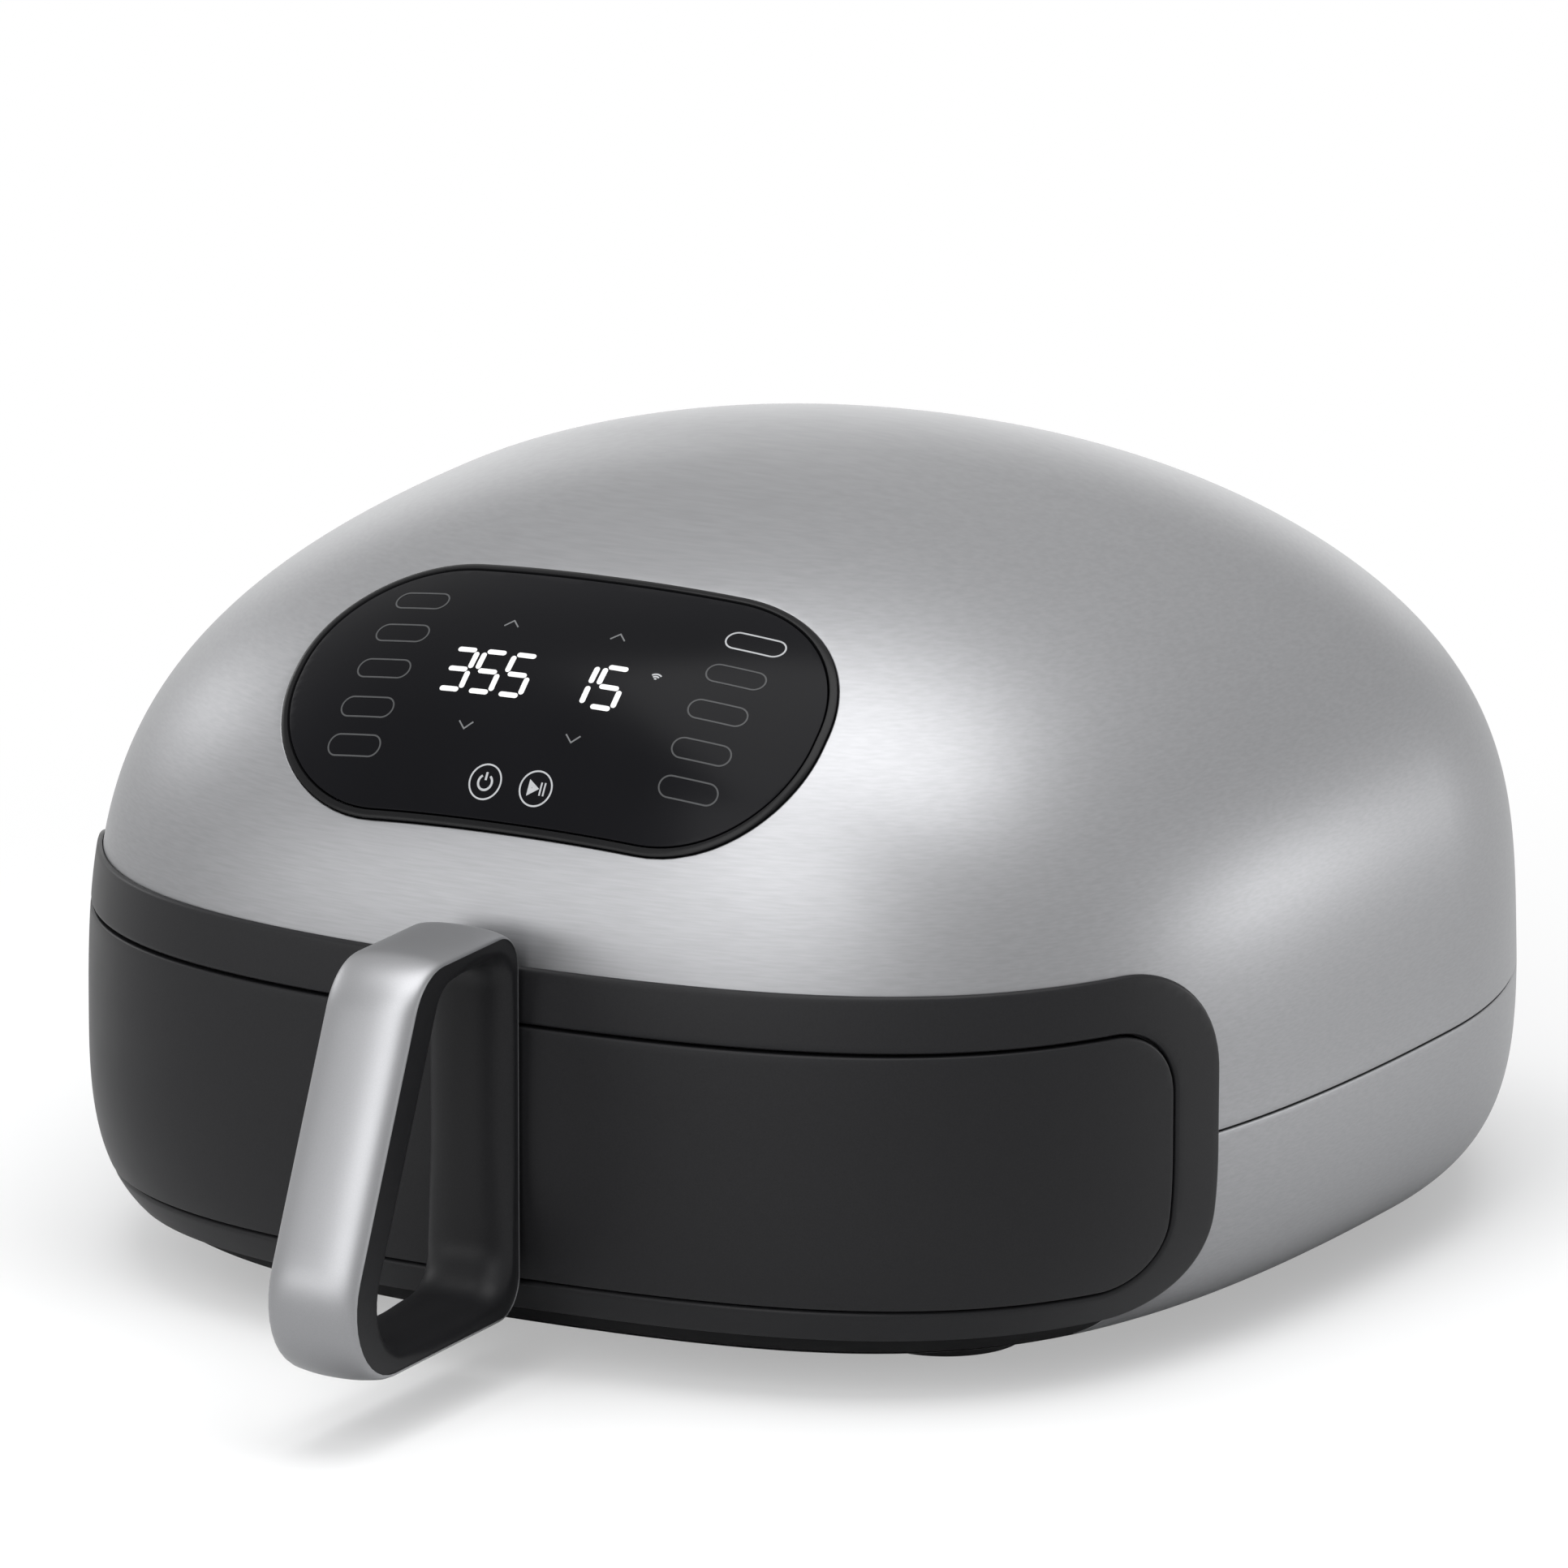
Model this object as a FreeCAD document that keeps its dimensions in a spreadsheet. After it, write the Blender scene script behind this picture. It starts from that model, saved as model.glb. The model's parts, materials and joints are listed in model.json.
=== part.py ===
import FreeCAD, Part
import math
import os
import re

import Sketcher
from FreeCAD import Placement, Rotation, Vector

# Countertop air fryer: a domed body on a shallow base, with a wide basket
# drawer that pulls out of a black front surround. Lengths are in millimetres.
# X runs to the right, Y to the rear, Z up; the origin is on the table at the
# middle of the whole outline, handle included.

# A text that starts with an equals sign is a cell that follows from other sizes.
SIZES = {
    # Body form: plan and side profile
    "half_width": 183, "body_depth": 404, "widest_setback": 226,
    "crown_height": 225, "crown_setback": 176, "parting_height": 67,
    "shoulder_rise": 65, "shoulder_rear_inset": 8,
    "brow_rise": 102, "brow_half_width": 198, "brow_rear_inset": 60,
    "crown_half_width": 114, "crown_front_inset": 41, "crown_rear_inset": 73,
    "belt_side_pull": 0.83, "belt_nose_pull": 0.79,
    "dome_side_pull": 0.70, "dome_nose_pull": 0.70,
    "rear_side_pull": 0.52, "rear_nose_pull": 0.62,
    "lower_drop": 41, "sill_inset": 6, "base_inset": 63, "base_height": 4,
    "base_top": 10, "shell_wall": 2.5, "seam": 0.5,
    # Front surround and drawer front, seen from the side
    "proud": 1.5, "surround_wall": 3, "surround_depth": 101.5,
    "surround_top": 117.5, "surround_bottom": 17,
    "surround_top_radius": 32, "surround_bottom_radius": 28,
    "skirt_depth": 79, "skirt_radius": 9,
    "drawer_wrap": 83.5, "drawer_top": 101, "drawer_bottom": 28,
    "drawer_radius": 18.5, "drawer_gap": 0.8, "drawer_wall": 4, "recess_wall": 2.4,
    # Handle loop, seen from the side
    "handle_width": 27.2, "handle_reach": 97.5, "handle_top": 131.5, "handle_bottom": 19,
    "handle_lean": 0.466, "handle_standoff": 1.2, "handle_band": 5, "handle_cap": 2.8,
    "handle_trim": 1, "handle_bar": 21, "handle_bridge": 10.5, "handle_foot": 8.8, "handle_back": 7,
    "handle_toe_radius": 26, "handle_brow_radius": 22, "handle_heel_radius": 13,
    "window_radius": 9, "window_toe_radius": 14, "window_heel_radius": 14, "window_edge_radius": 3,
    "handle_edge_radius": 4, "handle_boss_radius": 7,
    "handle_boss_low": 52, "handle_boss_high": 92, "core_recess": 0.3,
    # Touch panel
    "panel_half_width": 82.5, "panel_half_height": 43, "panel_radius": 38,
    "panel_tilt": 42.3, "panel_setback": 41.5, "panel_height": 181,
    "bezel_width": 2.2, "bezel_proud": 0.8, "bezel_depth": 4,
    "glass_proud": 0.3, "glass_thickness": 2, "glass_gap": 0.2,
    "display_thickness": 1.6, "display_margin": 8,
    # Basket pan and crisper plate
    "side_room": 27, "pan_half_width": "=half_width - side_room",
    "pan_setback": 26, "rear_room": 78, "pan_length": "=body_depth - pan_setback - rear_room",
    "pan_corner": 72,
    "pan_floor": 40, "pan_rim": 98, "pan_wall": 1.6, "pan_lip": 2.5, "pan_lip_height": 2,
    "pan_bottom_radius": 12, "plate_gap": 5, "plate_height": 9, "plate_thickness": 2,
    "plate_hole_radius": 5, "plate_columns": 9, "plate_rows": 9, "plate_hole_margin": 36,
    "plate_hole_pitch": "=2 * (pan_half_width - plate_hole_margin) / (plate_columns - 1)",
    "plate_rim": 3, "bumper_radius": 7, "bracket_half_width": 62, "bracket_height": 46,
    # Cooking chamber
    "chamber_gap": 4.5, "sheet": 1.2, "chamber_floor": 29, "chamber_top": 106,
    "mouth_margin": 2.5, "mouth_radius": 8, "hood_radius": 122, "hood_mouth": 116,
    "headroom": "=crown_height - chamber_top", "hood_share": 0.32, "hood_height": "=headroom * hood_share",
    "rail_inset": 35, "rail_offset": "=pan_half_width - rail_inset",
    "rail_width": 6, "running_gap": 0.3, "rail_length": 190,
    # Heaters, fan and motor
    "tube_radius": 3.25, "outer_coil": 95, "inner_coil": 68, "coil_drop": 19, "post_radius": 2.5,
    "lower_coil_half": 95, "lower_coil_radius": 40, "lower_coil_lift": 5.5,
    "guard_radius": 119, "guard_thickness": 1.2, "guard_slots": 14, "guard_eye": 28, "guard_waist": 66,
    "guard_web": 8, "guard_inner_slot": 8, "guard_outer_slot": 17,
    "fan_radius": 80, "fan_height": 8, "fan_plate": 1.2, "fan_blades": 10, "fan_drop": 5,
    "blade_thickness": 1.5, "hub_radius": 10, "shaft_radius": 3, "shaft_clearance": 0.3,
    "motor_radius": 30, "motor_share": 0.25, "motor_length": "=headroom * motor_share",
    "rise_share": 0.1, "bracket_rise": "=headroom * rise_share", "bracket_plate": 1.5,
    "bracket_radius": 42, "cooling_radius": 52, "cooling_share": 0.085,
    "cooling_height": "=headroom * cooling_share", "cooling_gap": 4,
    "cooling_blades": 7, "nut_radius": 6, "nut_height": 4,
    # Base, feet and rear fittings
    "foot_radius": 23, "front_foot_inset": 90, "front_foot_across": "=half_width - front_foot_inset",
    "rear_foot_inset": 111, "rear_foot_across": "=half_width - rear_foot_inset",
    "front_foot_setback": 95, "foot_rear_room": 122, "rear_foot_setback": "=body_depth - foot_rear_room",
    "pillar_radius": 7, "pillar_inset": 83, "pillar_across": "=half_width - pillar_inset",
    "front_pillar_setback": 130, "pillar_rear_room": 119,
    "rear_pillar_setback": "=body_depth - pillar_rear_room",
    "intake_half": 55, "intake_slot": 4, "intake_pitch": 12, "intake_count": 6, "intake_setback": 185,
    "board_half": 40, "board_length": 36, "board_rear_room": 64,
    "board_setback": "=body_depth - board_rear_room", "board_height": 22, "board_thickness": 1.6,
    "vent_half": 56, "vent_bottom": 88, "vent_top": 132, "vent_radius": 10,
    "vent_slot": 3.6, "vent_pitch": 7, "vent_count": 5, "vent_frame": 7,
    "gland_radius": 8, "gland_flange": 11, "gland_height": 40, "gland_length": 11,
    "probe_radius": 2.5, "probe_length": 20, "probe_across": 50, "switch_length": 20, "switch_height": 9,
    "switch_across": 110,
}

# Places that follow from the sizes
FRONT = "((handle_reach - body_depth) / 2)"
PAN_FRONT = f"({FRONT} + pan_setback)"
PAN_REAR = f"({FRONT} + pan_setback + pan_length)"
FAN_Y = f"({FRONT} + pan_setback + pan_length / 2)"
CHAMBER_FRONT = f"({FRONT} + drawer_wrap + drawer_gap + recess_wall)"
CHAMBER_HALF = "(pan_half_width + chamber_gap)"
HOOD_BASE = "(chamber_top + sheet)"
HOOD_TOP = "(chamber_top + hood_height)"
MOTOR_BASE = "(chamber_top + hood_height + sheet + bracket_rise + bracket_plate)"
MOTOR_TOP = f"({MOTOR_BASE} + motor_length)"
FAN_TOP = "(chamber_top + hood_height - fan_drop)"
HANDLE_REAR = f"({FRONT} - proud - handle_standoff)"

doc = FreeCAD.newDocument("air_fryer")
sheet = doc.addObject("Spreadsheet::Sheet", "sizes")
for row, (name, amount) in enumerate(SIZES.items(), start=1):
    sheet.set(f"A{row}", name)
    sheet.set(f"B{row}", str(amount))
    sheet.setAlias(f"B{row}", name)
doc.recompute()

SIZE_NAME = re.compile(r"\b(" + "|".join(SIZES) + r")\b")
nodes = {}


# Helpers that tie objects to the sheet

def formula(text):
    """Return an expression in which every size is read from the sheet."""
    return SIZE_NAME.sub(r"sizes.\1", text)


def value(text):
    """Return the number that an expression of sizes gives now."""
    return float(sheet.evalExpression(formula(text)))


def bind(obj, formulas):
    """Bind each named property of an object to an expression of sizes."""
    for name, text in formulas.items():
        obj.setExpression(name, formula(text))
    return obj


def place(obj, x="0", y="0", z="0"):
    """Bind an object's position to expressions of sizes."""
    return bind(obj, {"Placement.Base.x": x, "Placement.Base.y": y, "Placement.Base.z": z})


def finish(node, obj):
    """Label a finished sub-part with its node name and keep it for export."""
    obj.Label = node
    nodes[node] = obj
    return obj


# Part primitives and booleans

def cylinder(name, radius, height, x="0", y="0", z="0"):
    """Add an upright cylinder standing at the given place."""
    obj = doc.addObject("Part::Cylinder", name)
    bind(obj, {"Radius": radius, "Height": height})
    return place(obj, x, y, z)


def rod(name, radius, length, x, y, z, axis):
    """Add a cylinder that starts at the given place and runs along an axis."""
    obj = cylinder(name, radius, length)
    obj.Placement.Rotation = Rotation(Vector(0, 0, 1), axis)
    return place(obj, x, y, z)


def box(name, length, width, height, x, y, z):
    """Add a box with its lowest corner at the given place."""
    obj = doc.addObject("Part::Box", name)
    bind(obj, {"Length": length, "Width": width, "Height": height})
    return place(obj, x, y, z)


def torus(name, radius, tube, x, y, z):
    """Add a level ring centred on the given place."""
    obj = doc.addObject("Part::Torus", name)
    bind(obj, {"Radius1": radius, "Radius2": tube})
    return place(obj, x, y, z)


def cut(name, base, tool):
    """Subtract one object from another."""
    obj = doc.addObject("Part::Cut", name)
    obj.Base = base
    obj.Tool = tool
    return obj


def common(name, base, tool):
    """Keep what two objects share."""
    obj = doc.addObject("Part::Common", name)
    obj.Base = base
    obj.Tool = tool
    return obj


def fuse(name, *shapes):
    """Join objects into one solid."""
    obj = doc.addObject("Part::MultiFuse", name)
    obj.Shapes = list(shapes)
    return obj


# Sketched features

def new_body(name):
    """Add an empty PartDesign body."""
    return doc.addObject("PartDesign::Body", name)


def sketch_on(body, name, role, offset="0"):
    """Add a sketch on one of the body's origin planes, moved along its normal."""
    plane = next(item for item in body.Origin.OriginFeatures if item.Role == role)
    sketch = body.newObject("Sketcher::SketchObject", name)
    sketch.AttachmentSupport = [(plane, "")]
    sketch.MapMode = "FlatFace"
    return bind(sketch, {"AttachmentOffset.Base.z": offset})


def pin_point(sketch, geometry, x, y):
    """Fix the first point of a sketch element at bound coordinates."""
    for kind, text in (("DistanceX", x), ("DistanceY", y)):
        index = sketch.addConstraint(Sketcher.Constraint(kind, -1, 1, geometry, 1, value(text)))
        sketch.setExpression(f"Constraints[{index}]", formula(text))


def corner_arc(before, corner, after, radius):
    """Return where a rounded corner starts and ends, and the middle of its arc."""
    arm_in = (before - corner).normalize()
    arm_out = (after - corner).normalize()
    half_angle = arm_in.getAngle(arm_out) / 2
    reach = radius / math.tan(half_angle)
    bisector = (arm_in + arm_out).normalize()
    middle = corner + bisector * (radius / math.sin(half_angle) - radius)
    return corner + arm_in * reach, middle, corner + arm_out * reach


def outline(sketch, corners):
    """Draw a closed convex outline, anticlockwise; each corner is (x, y, radius or None)."""
    points = [Vector(value(x), value(y), 0) for x, y, radius in corners]
    count = len(points)
    arcs = {}
    for i, (x, y, radius) in enumerate(corners):
        if radius:
            arcs[i] = corner_arc(points[i - 1], points[i], points[(i + 1) % count], value(radius))
    for i in range(count):
        following = (i + 1) % count
        start = arcs[i][2] if i in arcs else points[i]
        end = arcs[following][0] if following in arcs else points[following]
        sketch.addGeometry(Part.LineSegment(start, end))
    for i, (x, y, radius) in enumerate(corners):
        before = (i - 1) % count
        if i not in arcs:
            sketch.addConstraint(Sketcher.Constraint("Coincident", before, 2, i, 1))
            pin_point(sketch, i, x, y)
            continue
        arc = sketch.addGeometry(Part.Arc(*arcs[i]))
        sketch.addConstraint(Sketcher.Constraint("Tangent", before, 2, arc, 1))
        sketch.addConstraint(Sketcher.Constraint("Tangent", arc, 2, i, 1))
        index = sketch.addConstraint(Sketcher.Constraint("Radius", arc, value(radius)))
        sketch.setExpression(f"Constraints[{index}]", formula(radius))
        corner = sketch.addGeometry(Part.Point(points[i]), True)
        sketch.addConstraint(Sketcher.Constraint("PointOnObject", corner, 1, before))
        sketch.addConstraint(Sketcher.Constraint("PointOnObject", corner, 1, i))
        pin_point(sketch, corner, x, y)
    return sketch


def circle(sketch, x, y, radius):
    """Draw a circle with bound centre and radius."""
    centre = Vector(value(x), value(y), 0)
    index = sketch.addGeometry(Part.Circle(centre, Vector(0, 0, 1), value(radius)))
    for kind, text in (("DistanceX", x), ("DistanceY", y)):
        row = sketch.addConstraint(Sketcher.Constraint(kind, -1, 1, index, 3, value(text)))
        sketch.setExpression(f"Constraints[{row}]", formula(text))
    row = sketch.addConstraint(Sketcher.Constraint("Radius", index, value(radius)))
    sketch.setExpression(f"Constraints[{row}]", formula(radius))
    return sketch


def pad(body, sketch, length, midplane=False, reverse=False):
    """Pad a sketch by a bound length."""
    feature = body.newObject("PartDesign::Pad", sketch.Name + "_pad")
    feature.Profile = sketch
    feature.SideType = "Symmetric" if midplane else "One side"
    feature.Reversed = reverse
    return bind(feature, {"Length": length})


def pocket(body, sketch, length, midplane=False, reverse=False):
    """Cut a sketch away by a bound depth."""
    feature = body.newObject("PartDesign::Pocket", sketch.Name + "_pocket")
    feature.Profile = sketch
    feature.SideType = "Symmetric" if midplane else "One side"
    feature.Reversed = reverse
    return bind(feature, {"Length": length})


def fillet(body, radius, chosen):
    """Round the edges of the body's last feature that a test picks."""
    doc.recompute()
    base = body.Tip
    names = [f"Edge{i}" for i, edge in enumerate(base.Shape.Edges, start=1) if chosen(edge)]
    feature = body.newObject("PartDesign::Fillet", body.Name + "_fillet")
    feature.Base = (base, names)
    bind(feature, {"Radius": radius})
    body.Tip = feature
    return feature


def repeat_row(body, feature, sketch, axis, length, count):
    """Repeat a feature in a straight row along an axis of its sketch."""
    pattern = body.newObject("PartDesign::LinearPattern", feature.Name + "_row")
    pattern.Originals = [feature]
    pattern.Direction = (sketch, [axis])
    bind(pattern, {"Length": length, "Occurrences": count})
    body.Tip = pattern
    return pattern


def repeat_round(body, feature, sketch, count):
    """Repeat a feature evenly round the normal of its sketch."""
    pattern = body.newObject("PartDesign::PolarPattern", feature.Name + "_ring")
    pattern.Originals = [feature]
    pattern.Axis = (sketch, ["N_Axis"])
    pattern.Angle = 360
    bind(pattern, {"Occurrences": count})
    body.Tip = pattern
    return pattern


# Body form: Bezier patches whose poles follow from the plan and the profile

def plan_poles(height, half, front, middle, rear, pulls):
    """Return the right-hand plan poles at one height, as a front and a rear quarter."""
    side, nose, rear_side, rear_nose = pulls
    front_quarter = [
        Vector(half, middle, height),
        Vector(half, middle - side * (middle - front), height),
        Vector(nose * half, front, height),
        Vector(0, front, height),
    ]
    rear_quarter = [
        Vector(half, middle, height),
        Vector(half, middle + rear_side * (rear - middle), height),
        Vector(rear_nose * half, rear, height),
        Vector(0, rear, height),
    ]
    return front_quarter, rear_quarter


def dome_levels(grow):
    """Return the pole rows of the dome from the parting line to the crown."""
    front = value(FRONT)
    depth = value("body_depth")
    crown = value("crown_setback")
    drift = (value("widest_setback") - crown) / value("half_width")
    rear_pulls = (value("rear_side_pull"), value("rear_nose_pull"))
    belt = (value("belt_side_pull"), value("belt_nose_pull"), *rear_pulls)
    top = (value("dome_side_pull"), value("dome_nose_pull"), *rear_pulls)
    parting = value("parting_height")
    rows = [
        (parting, value("half_width"), 0, value("widest_setback"), 0, belt),
        (parting + value("shoulder_rise"), value("half_width"), 0, value("widest_setback"),
         value("shoulder_rear_inset"), belt),
        (parting + value("brow_rise") + grow / 2, value("brow_half_width"), 0,
         crown + drift * value("brow_half_width"), value("brow_rear_inset"), top),
        (value("crown_height") + grow, value("crown_half_width"), value("crown_front_inset"),
         crown + drift * value("crown_half_width"), value("crown_rear_inset"), top),
    ]
    levels = [
        plan_poles(height, half + grow, front + inset - grow, front + middle,
                   front + depth - rear_inset + grow, pulls)
        for height, half, inset, middle, rear_inset, pulls in rows
    ]
    peak = [Vector(0, front + crown, value("crown_height") + grow)] * 4
    return levels + [(peak, peak)]


def lower_levels(grow):
    """Return the pole rows of the lower body from the parting line to the base."""
    front = value(FRONT)
    parting = value("parting_height")
    base = value("base_height") - grow
    pulls = tuple(value(name) for name in (
        "belt_side_pull", "belt_nose_pull", "rear_side_pull", "rear_nose_pull"))
    rows = [(parting, 0), (parting - value("lower_drop"), 0),
            (base, value("sill_inset")), (base, value("base_inset"))]
    return [
        plan_poles(height, value("half_width") - inset + grow, front + inset - grow,
                   front + value("widest_setback"),
                   front + value("body_depth") - inset + grow, pulls)
        for height, inset in rows
    ]


def patch(rows, mirrored):
    """Return the Bezier face of one quarter, on the right or mirrored to the left."""
    surface = Part.BezierSurface()
    surface.increase(len(rows) - 1, 3)
    for u, row in enumerate(rows, start=1):
        for v, pole in enumerate(row, start=1):
            x = -pole.x if mirrored else pole.x
            surface.setPole(u, v, Vector(x, pole.y, pole.z))
    return surface.toShape()


def envelope(name, grow):
    """Add the closed body form, grown outwards by a distance."""
    faces = []
    for levels in (dome_levels(grow), lower_levels(grow)):
        for quarter in (0, 1):
            rows = [level[quarter] for level in levels]
            faces += [patch(rows, False), patch(rows, True)]
    ground = lower_levels(grow)[-1]
    rim = []
    for quarter in ground:
        for sign in (1, -1):
            curve = Part.BezierCurve()
            curve.setPoles([Vector(sign * p.x, p.y, p.z) for p in quarter])
            rim.append(curve.toShape())
    faces.append(Part.Face(Part.Wire(Part.__sortEdges__(rim))))
    shell = Part.Shell(Part.makeCompound(faces).Faces)
    shell.sewShape()
    solid = Part.Solid(shell)
    solid.fix(1e-4, 1e-4, 1e-4)
    if solid.Volume < 0:
        solid.reverse()
    obj = doc.addObject("Part::Feature", name)
    obj.Shape = solid
    return obj


def side_prism(name, rear, top, bottom, top_radius, bottom_radius):
    """Add a prism across the body whose side outline is open to the front."""
    body = new_body(name)
    ahead = f"({FRONT} - half_width / 2)"
    sketch = outline(sketch_on(body, name + "_outline", "YZ_Plane"), [
        (ahead, bottom, None), (rear, bottom, bottom_radius),
        (rear, top, top_radius), (ahead, top, None)])
    pad(body, sketch, "3 * half_width", midplane=True)
    return body


def band_between(name, low, high):
    """Add a slab that takes in the whole plan between two heights."""
    return box(name, "4 * half_width", "3 * body_depth", f"({high}) - ({low})",
               "-2 * half_width", "-1.5 * body_depth", low)


# Outer shells

def build_shells(forms):
    """Make the dome, the lower shell, the base tray and the front surround."""
    hollow = cut("hollow_form", forms["body"], forms["cavity"])
    opening = side_prism(
        "surround_opening", f"{FRONT} + surround_depth + seam", "surround_top + seam",
        "surround_bottom - seam", "surround_top_radius + seam", "surround_bottom_radius + seam")
    split = "seam / 2"
    upper = common("dome_blank", hollow, band_between(
        "dome_slab", f"parting_height + {split}", "2 * crown_height"))
    upper = cut("dome_front", upper, opening)
    upper = cut("dome_panel", upper, panel_prism("panel_seat", "seam"))
    upper = cut("dome_vent", upper, vent_prism("vent_seat", "seam"))
    finish("dome_shell", upper)

    lower = common("lower_blank", hollow, band_between(
        "lower_slab", f"base_top + {split}", f"parting_height - {split}"))
    lower = cut("lower_front", lower, opening)
    lower = cut("lower_sill", lower, skirt_prism("skirt_opening", "seam"))
    lower = cut("lower_gland", lower, rod(
        "gland_hole", "gland_radius + seam / 2", "4 * gland_length",
        "0", f"{FRONT} + body_depth - 2 * gland_length", "gland_height", Vector(0, 1, 0)))
    finish("lower_shell", lower)
    build_base(hollow, split)
    build_feet(forms)
    build_surround(forms)


def build_base(hollow, split):
    """Make the base tray with its pillars and air intake."""
    tray = common("base_blank", hollow, band_between(
        "base_slab", "0", f"base_top - {split}"))
    floor = "base_height + shell_wall / 2"
    posts = []
    for side, sign in (("left", "-"), ("right", "")):
        for end in ("front", "rear"):
            posts.append(cylinder(
                f"pillar_{end}_{side}", "pillar_radius",
                "chamber_floor - sheet - base_height - shell_wall / 2",
                f"{sign}pillar_across", f"{FRONT} + {end}_pillar_setback", floor))
        posts.append(cylinder(
            f"board_post_{side}", "pillar_radius / 2", f"board_height - ({floor})",
            f"{sign}(board_half - pillar_radius)",
            f"{FRONT} + board_setback + board_length / 2", floor))
    finish("base_tray", cut("base_vented", fuse("base_posts", tray, *posts), intake_slots()))


def build_feet(forms):
    """Make the four round feet, whose tops follow the curve of the base."""
    for side, sign in (("left", "-"), ("right", "")):
        for end in ("front", "rear"):
            disc = cylinder(f"foot_disc_{end}_{side}", "foot_radius", "base_top",
                            f"{sign}{end}_foot_across", f"{FRONT} + {end}_foot_setback")
            finish(f"foot_{end}_{side}", cut(f"foot_form_{end}_{side}", disc, forms["body"]))


def intake_slots():
    """Return the row of air slots that is cut through the base."""
    body = new_body("intake_slots")
    sketch = outline(sketch_on(body, "intake_outline", "XY_Plane"), [
        ("-intake_half", f"{FRONT} + intake_setback", None),
        ("intake_half", f"{FRONT} + intake_setback", None),
        ("intake_half", f"{FRONT} + intake_setback + intake_slot", None),
        ("-intake_half", f"{FRONT} + intake_setback + intake_slot", None)])
    first = pad(body, sketch, "base_height + 2 * shell_wall")
    repeat_row(body, first, sketch, "V_Axis", "intake_pitch * (intake_count - 1)", "intake_count")
    return body


def build_surround(forms):
    """Make the black surround: a proud skin with a recess that takes the drawer front."""
    outer = side_prism(
        "surround_form", f"{FRONT} + surround_depth", "surround_top", "surround_bottom",
        "surround_top_radius", "surround_bottom_radius")
    recess = drawer_prism("recess_form", "drawer_gap + recess_wall")
    opening = drawer_prism("recess_opening", "drawer_gap")
    blank = fuse("surround_blank", common("surround_face", forms["proud"], outer),
                 common("surround_skirt", forms["body"], skirt_prism("skirt_form", "0")))
    inside = cut("surround_inside", forms["surround_cavity"], recess)
    skin = cut("surround_skin", cut("surround_walls", blank, inside), opening)
    skin = cut("surround_mouth", skin, mouth_prism())
    finish("front_surround", cut("surround_relieved", skin, chamber_relief()))


def skirt_prism(name, grow):
    """Return the outline of the flush skirt that carries the surround down to the base."""
    return side_prism(
        name, f"{FRONT} + skirt_depth + {grow}", "(surround_top + surround_bottom) / 2",
        f"base_top + seam / 2 - {grow}", "skirt_radius", "(surround_bottom - base_top) / 2")


def drawer_prism(name, grow):
    """Return the drawer front's side outline, grown all round."""
    return side_prism(
        name, f"{FRONT} + drawer_wrap + {grow}", f"drawer_top + {grow}",
        f"drawer_bottom - {grow}", f"drawer_radius + {grow}", f"drawer_radius + {grow}")


def mouth_prism():
    """Return the opening in the recess that the pan passes through."""
    body = new_body("mouth_form")
    half = "(pan_half_width + pan_lip + mouth_margin)"
    sketch = outline(sketch_on(body, "mouth_outline", "XZ_Plane"), [
        (f"-{half}", "chamber_floor", "mouth_radius"), (half, "chamber_floor", "mouth_radius"),
        (half, "pan_rim + mouth_margin", "mouth_radius"),
        (f"-{half}", "pan_rim + mouth_margin", "mouth_radius")])
    pad(body, sketch, "body_depth", midplane=True)
    return body


def chamber_relief():
    """Return the room that the surround's inside leaves for the chamber's corners."""
    half = f"({CHAMBER_HALF} + sheet + running_gap)"
    return box("chamber_relief", f"2 * {half}", "surround_depth",
               "chamber_top - chamber_floor + 2 * (sheet + running_gap)",
               f"-{half}", CHAMBER_FRONT, "chamber_floor - sheet - running_gap")


# Touch panel

def panel_prism(name, grow):
    """Return a prism square to the dome's front slope with the panel's outline."""
    body = new_body(name)
    half = f"(panel_half_width + {grow})"
    rise = f"(panel_half_height + {grow})"
    radius = f"panel_radius + {grow}"
    sketch = outline(sketch_on(body, name + "_outline", "XY_Plane"), [
        (f"-{half}", f"-{rise}", radius), (half, f"-{rise}", radius),
        (half, rise, radius), (f"-{half}", rise, radius)])
    pad(body, sketch, "panel_half_height * 2", midplane=True)
    body.Placement = Placement(Vector(), Rotation(Vector(1, 0, 0), value("panel_tilt")))
    return place(body, "0", f"{FRONT} + panel_setback", "panel_height")


def build_panel(forms):
    """Make the bezel ring, the curved glass and the display behind it."""
    ring = cut("bezel_skin", forms["bezel"], forms["bezel_inside"])
    ring = common("bezel_blank", ring, panel_prism("bezel_form", "0"))
    finish("panel_bezel", cut("bezel_ring", ring, panel_prism("bezel_hole", "-bezel_width")))
    glass = cut("glass_skin", forms["glass"], forms["glass_inside"])
    finish("control_glass", common(
        "glass_cut", glass, panel_prism("glass_form", "-bezel_width - glass_gap")))
    display = cut("display_skin", forms["display"], forms["display_inside"])
    finish("display_module", common(
        "display_cut", display, panel_prism("display_form", "-display_margin")))


# Drawer

def build_drawer(forms):
    """Make the drawer front, its bracket, the pan and the handle."""
    skin = cut("drawer_skin", forms["proud"], forms["drawer_cavity"])
    finish("drawer_front", common("drawer_panel", skin, drawer_prism("drawer_form", "0")))
    build_pan()
    bracket = box("bracket_block", "2 * bracket_half_width", "pan_setback + proud", "bracket_height",
                  "-bracket_half_width", f"{FRONT} - proud", "pan_floor + pan_lip_height * 2")
    finish("drawer_bracket", common("bracket_cut", bracket, forms["drawer_cavity"]))
    build_handle(forms)


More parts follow.
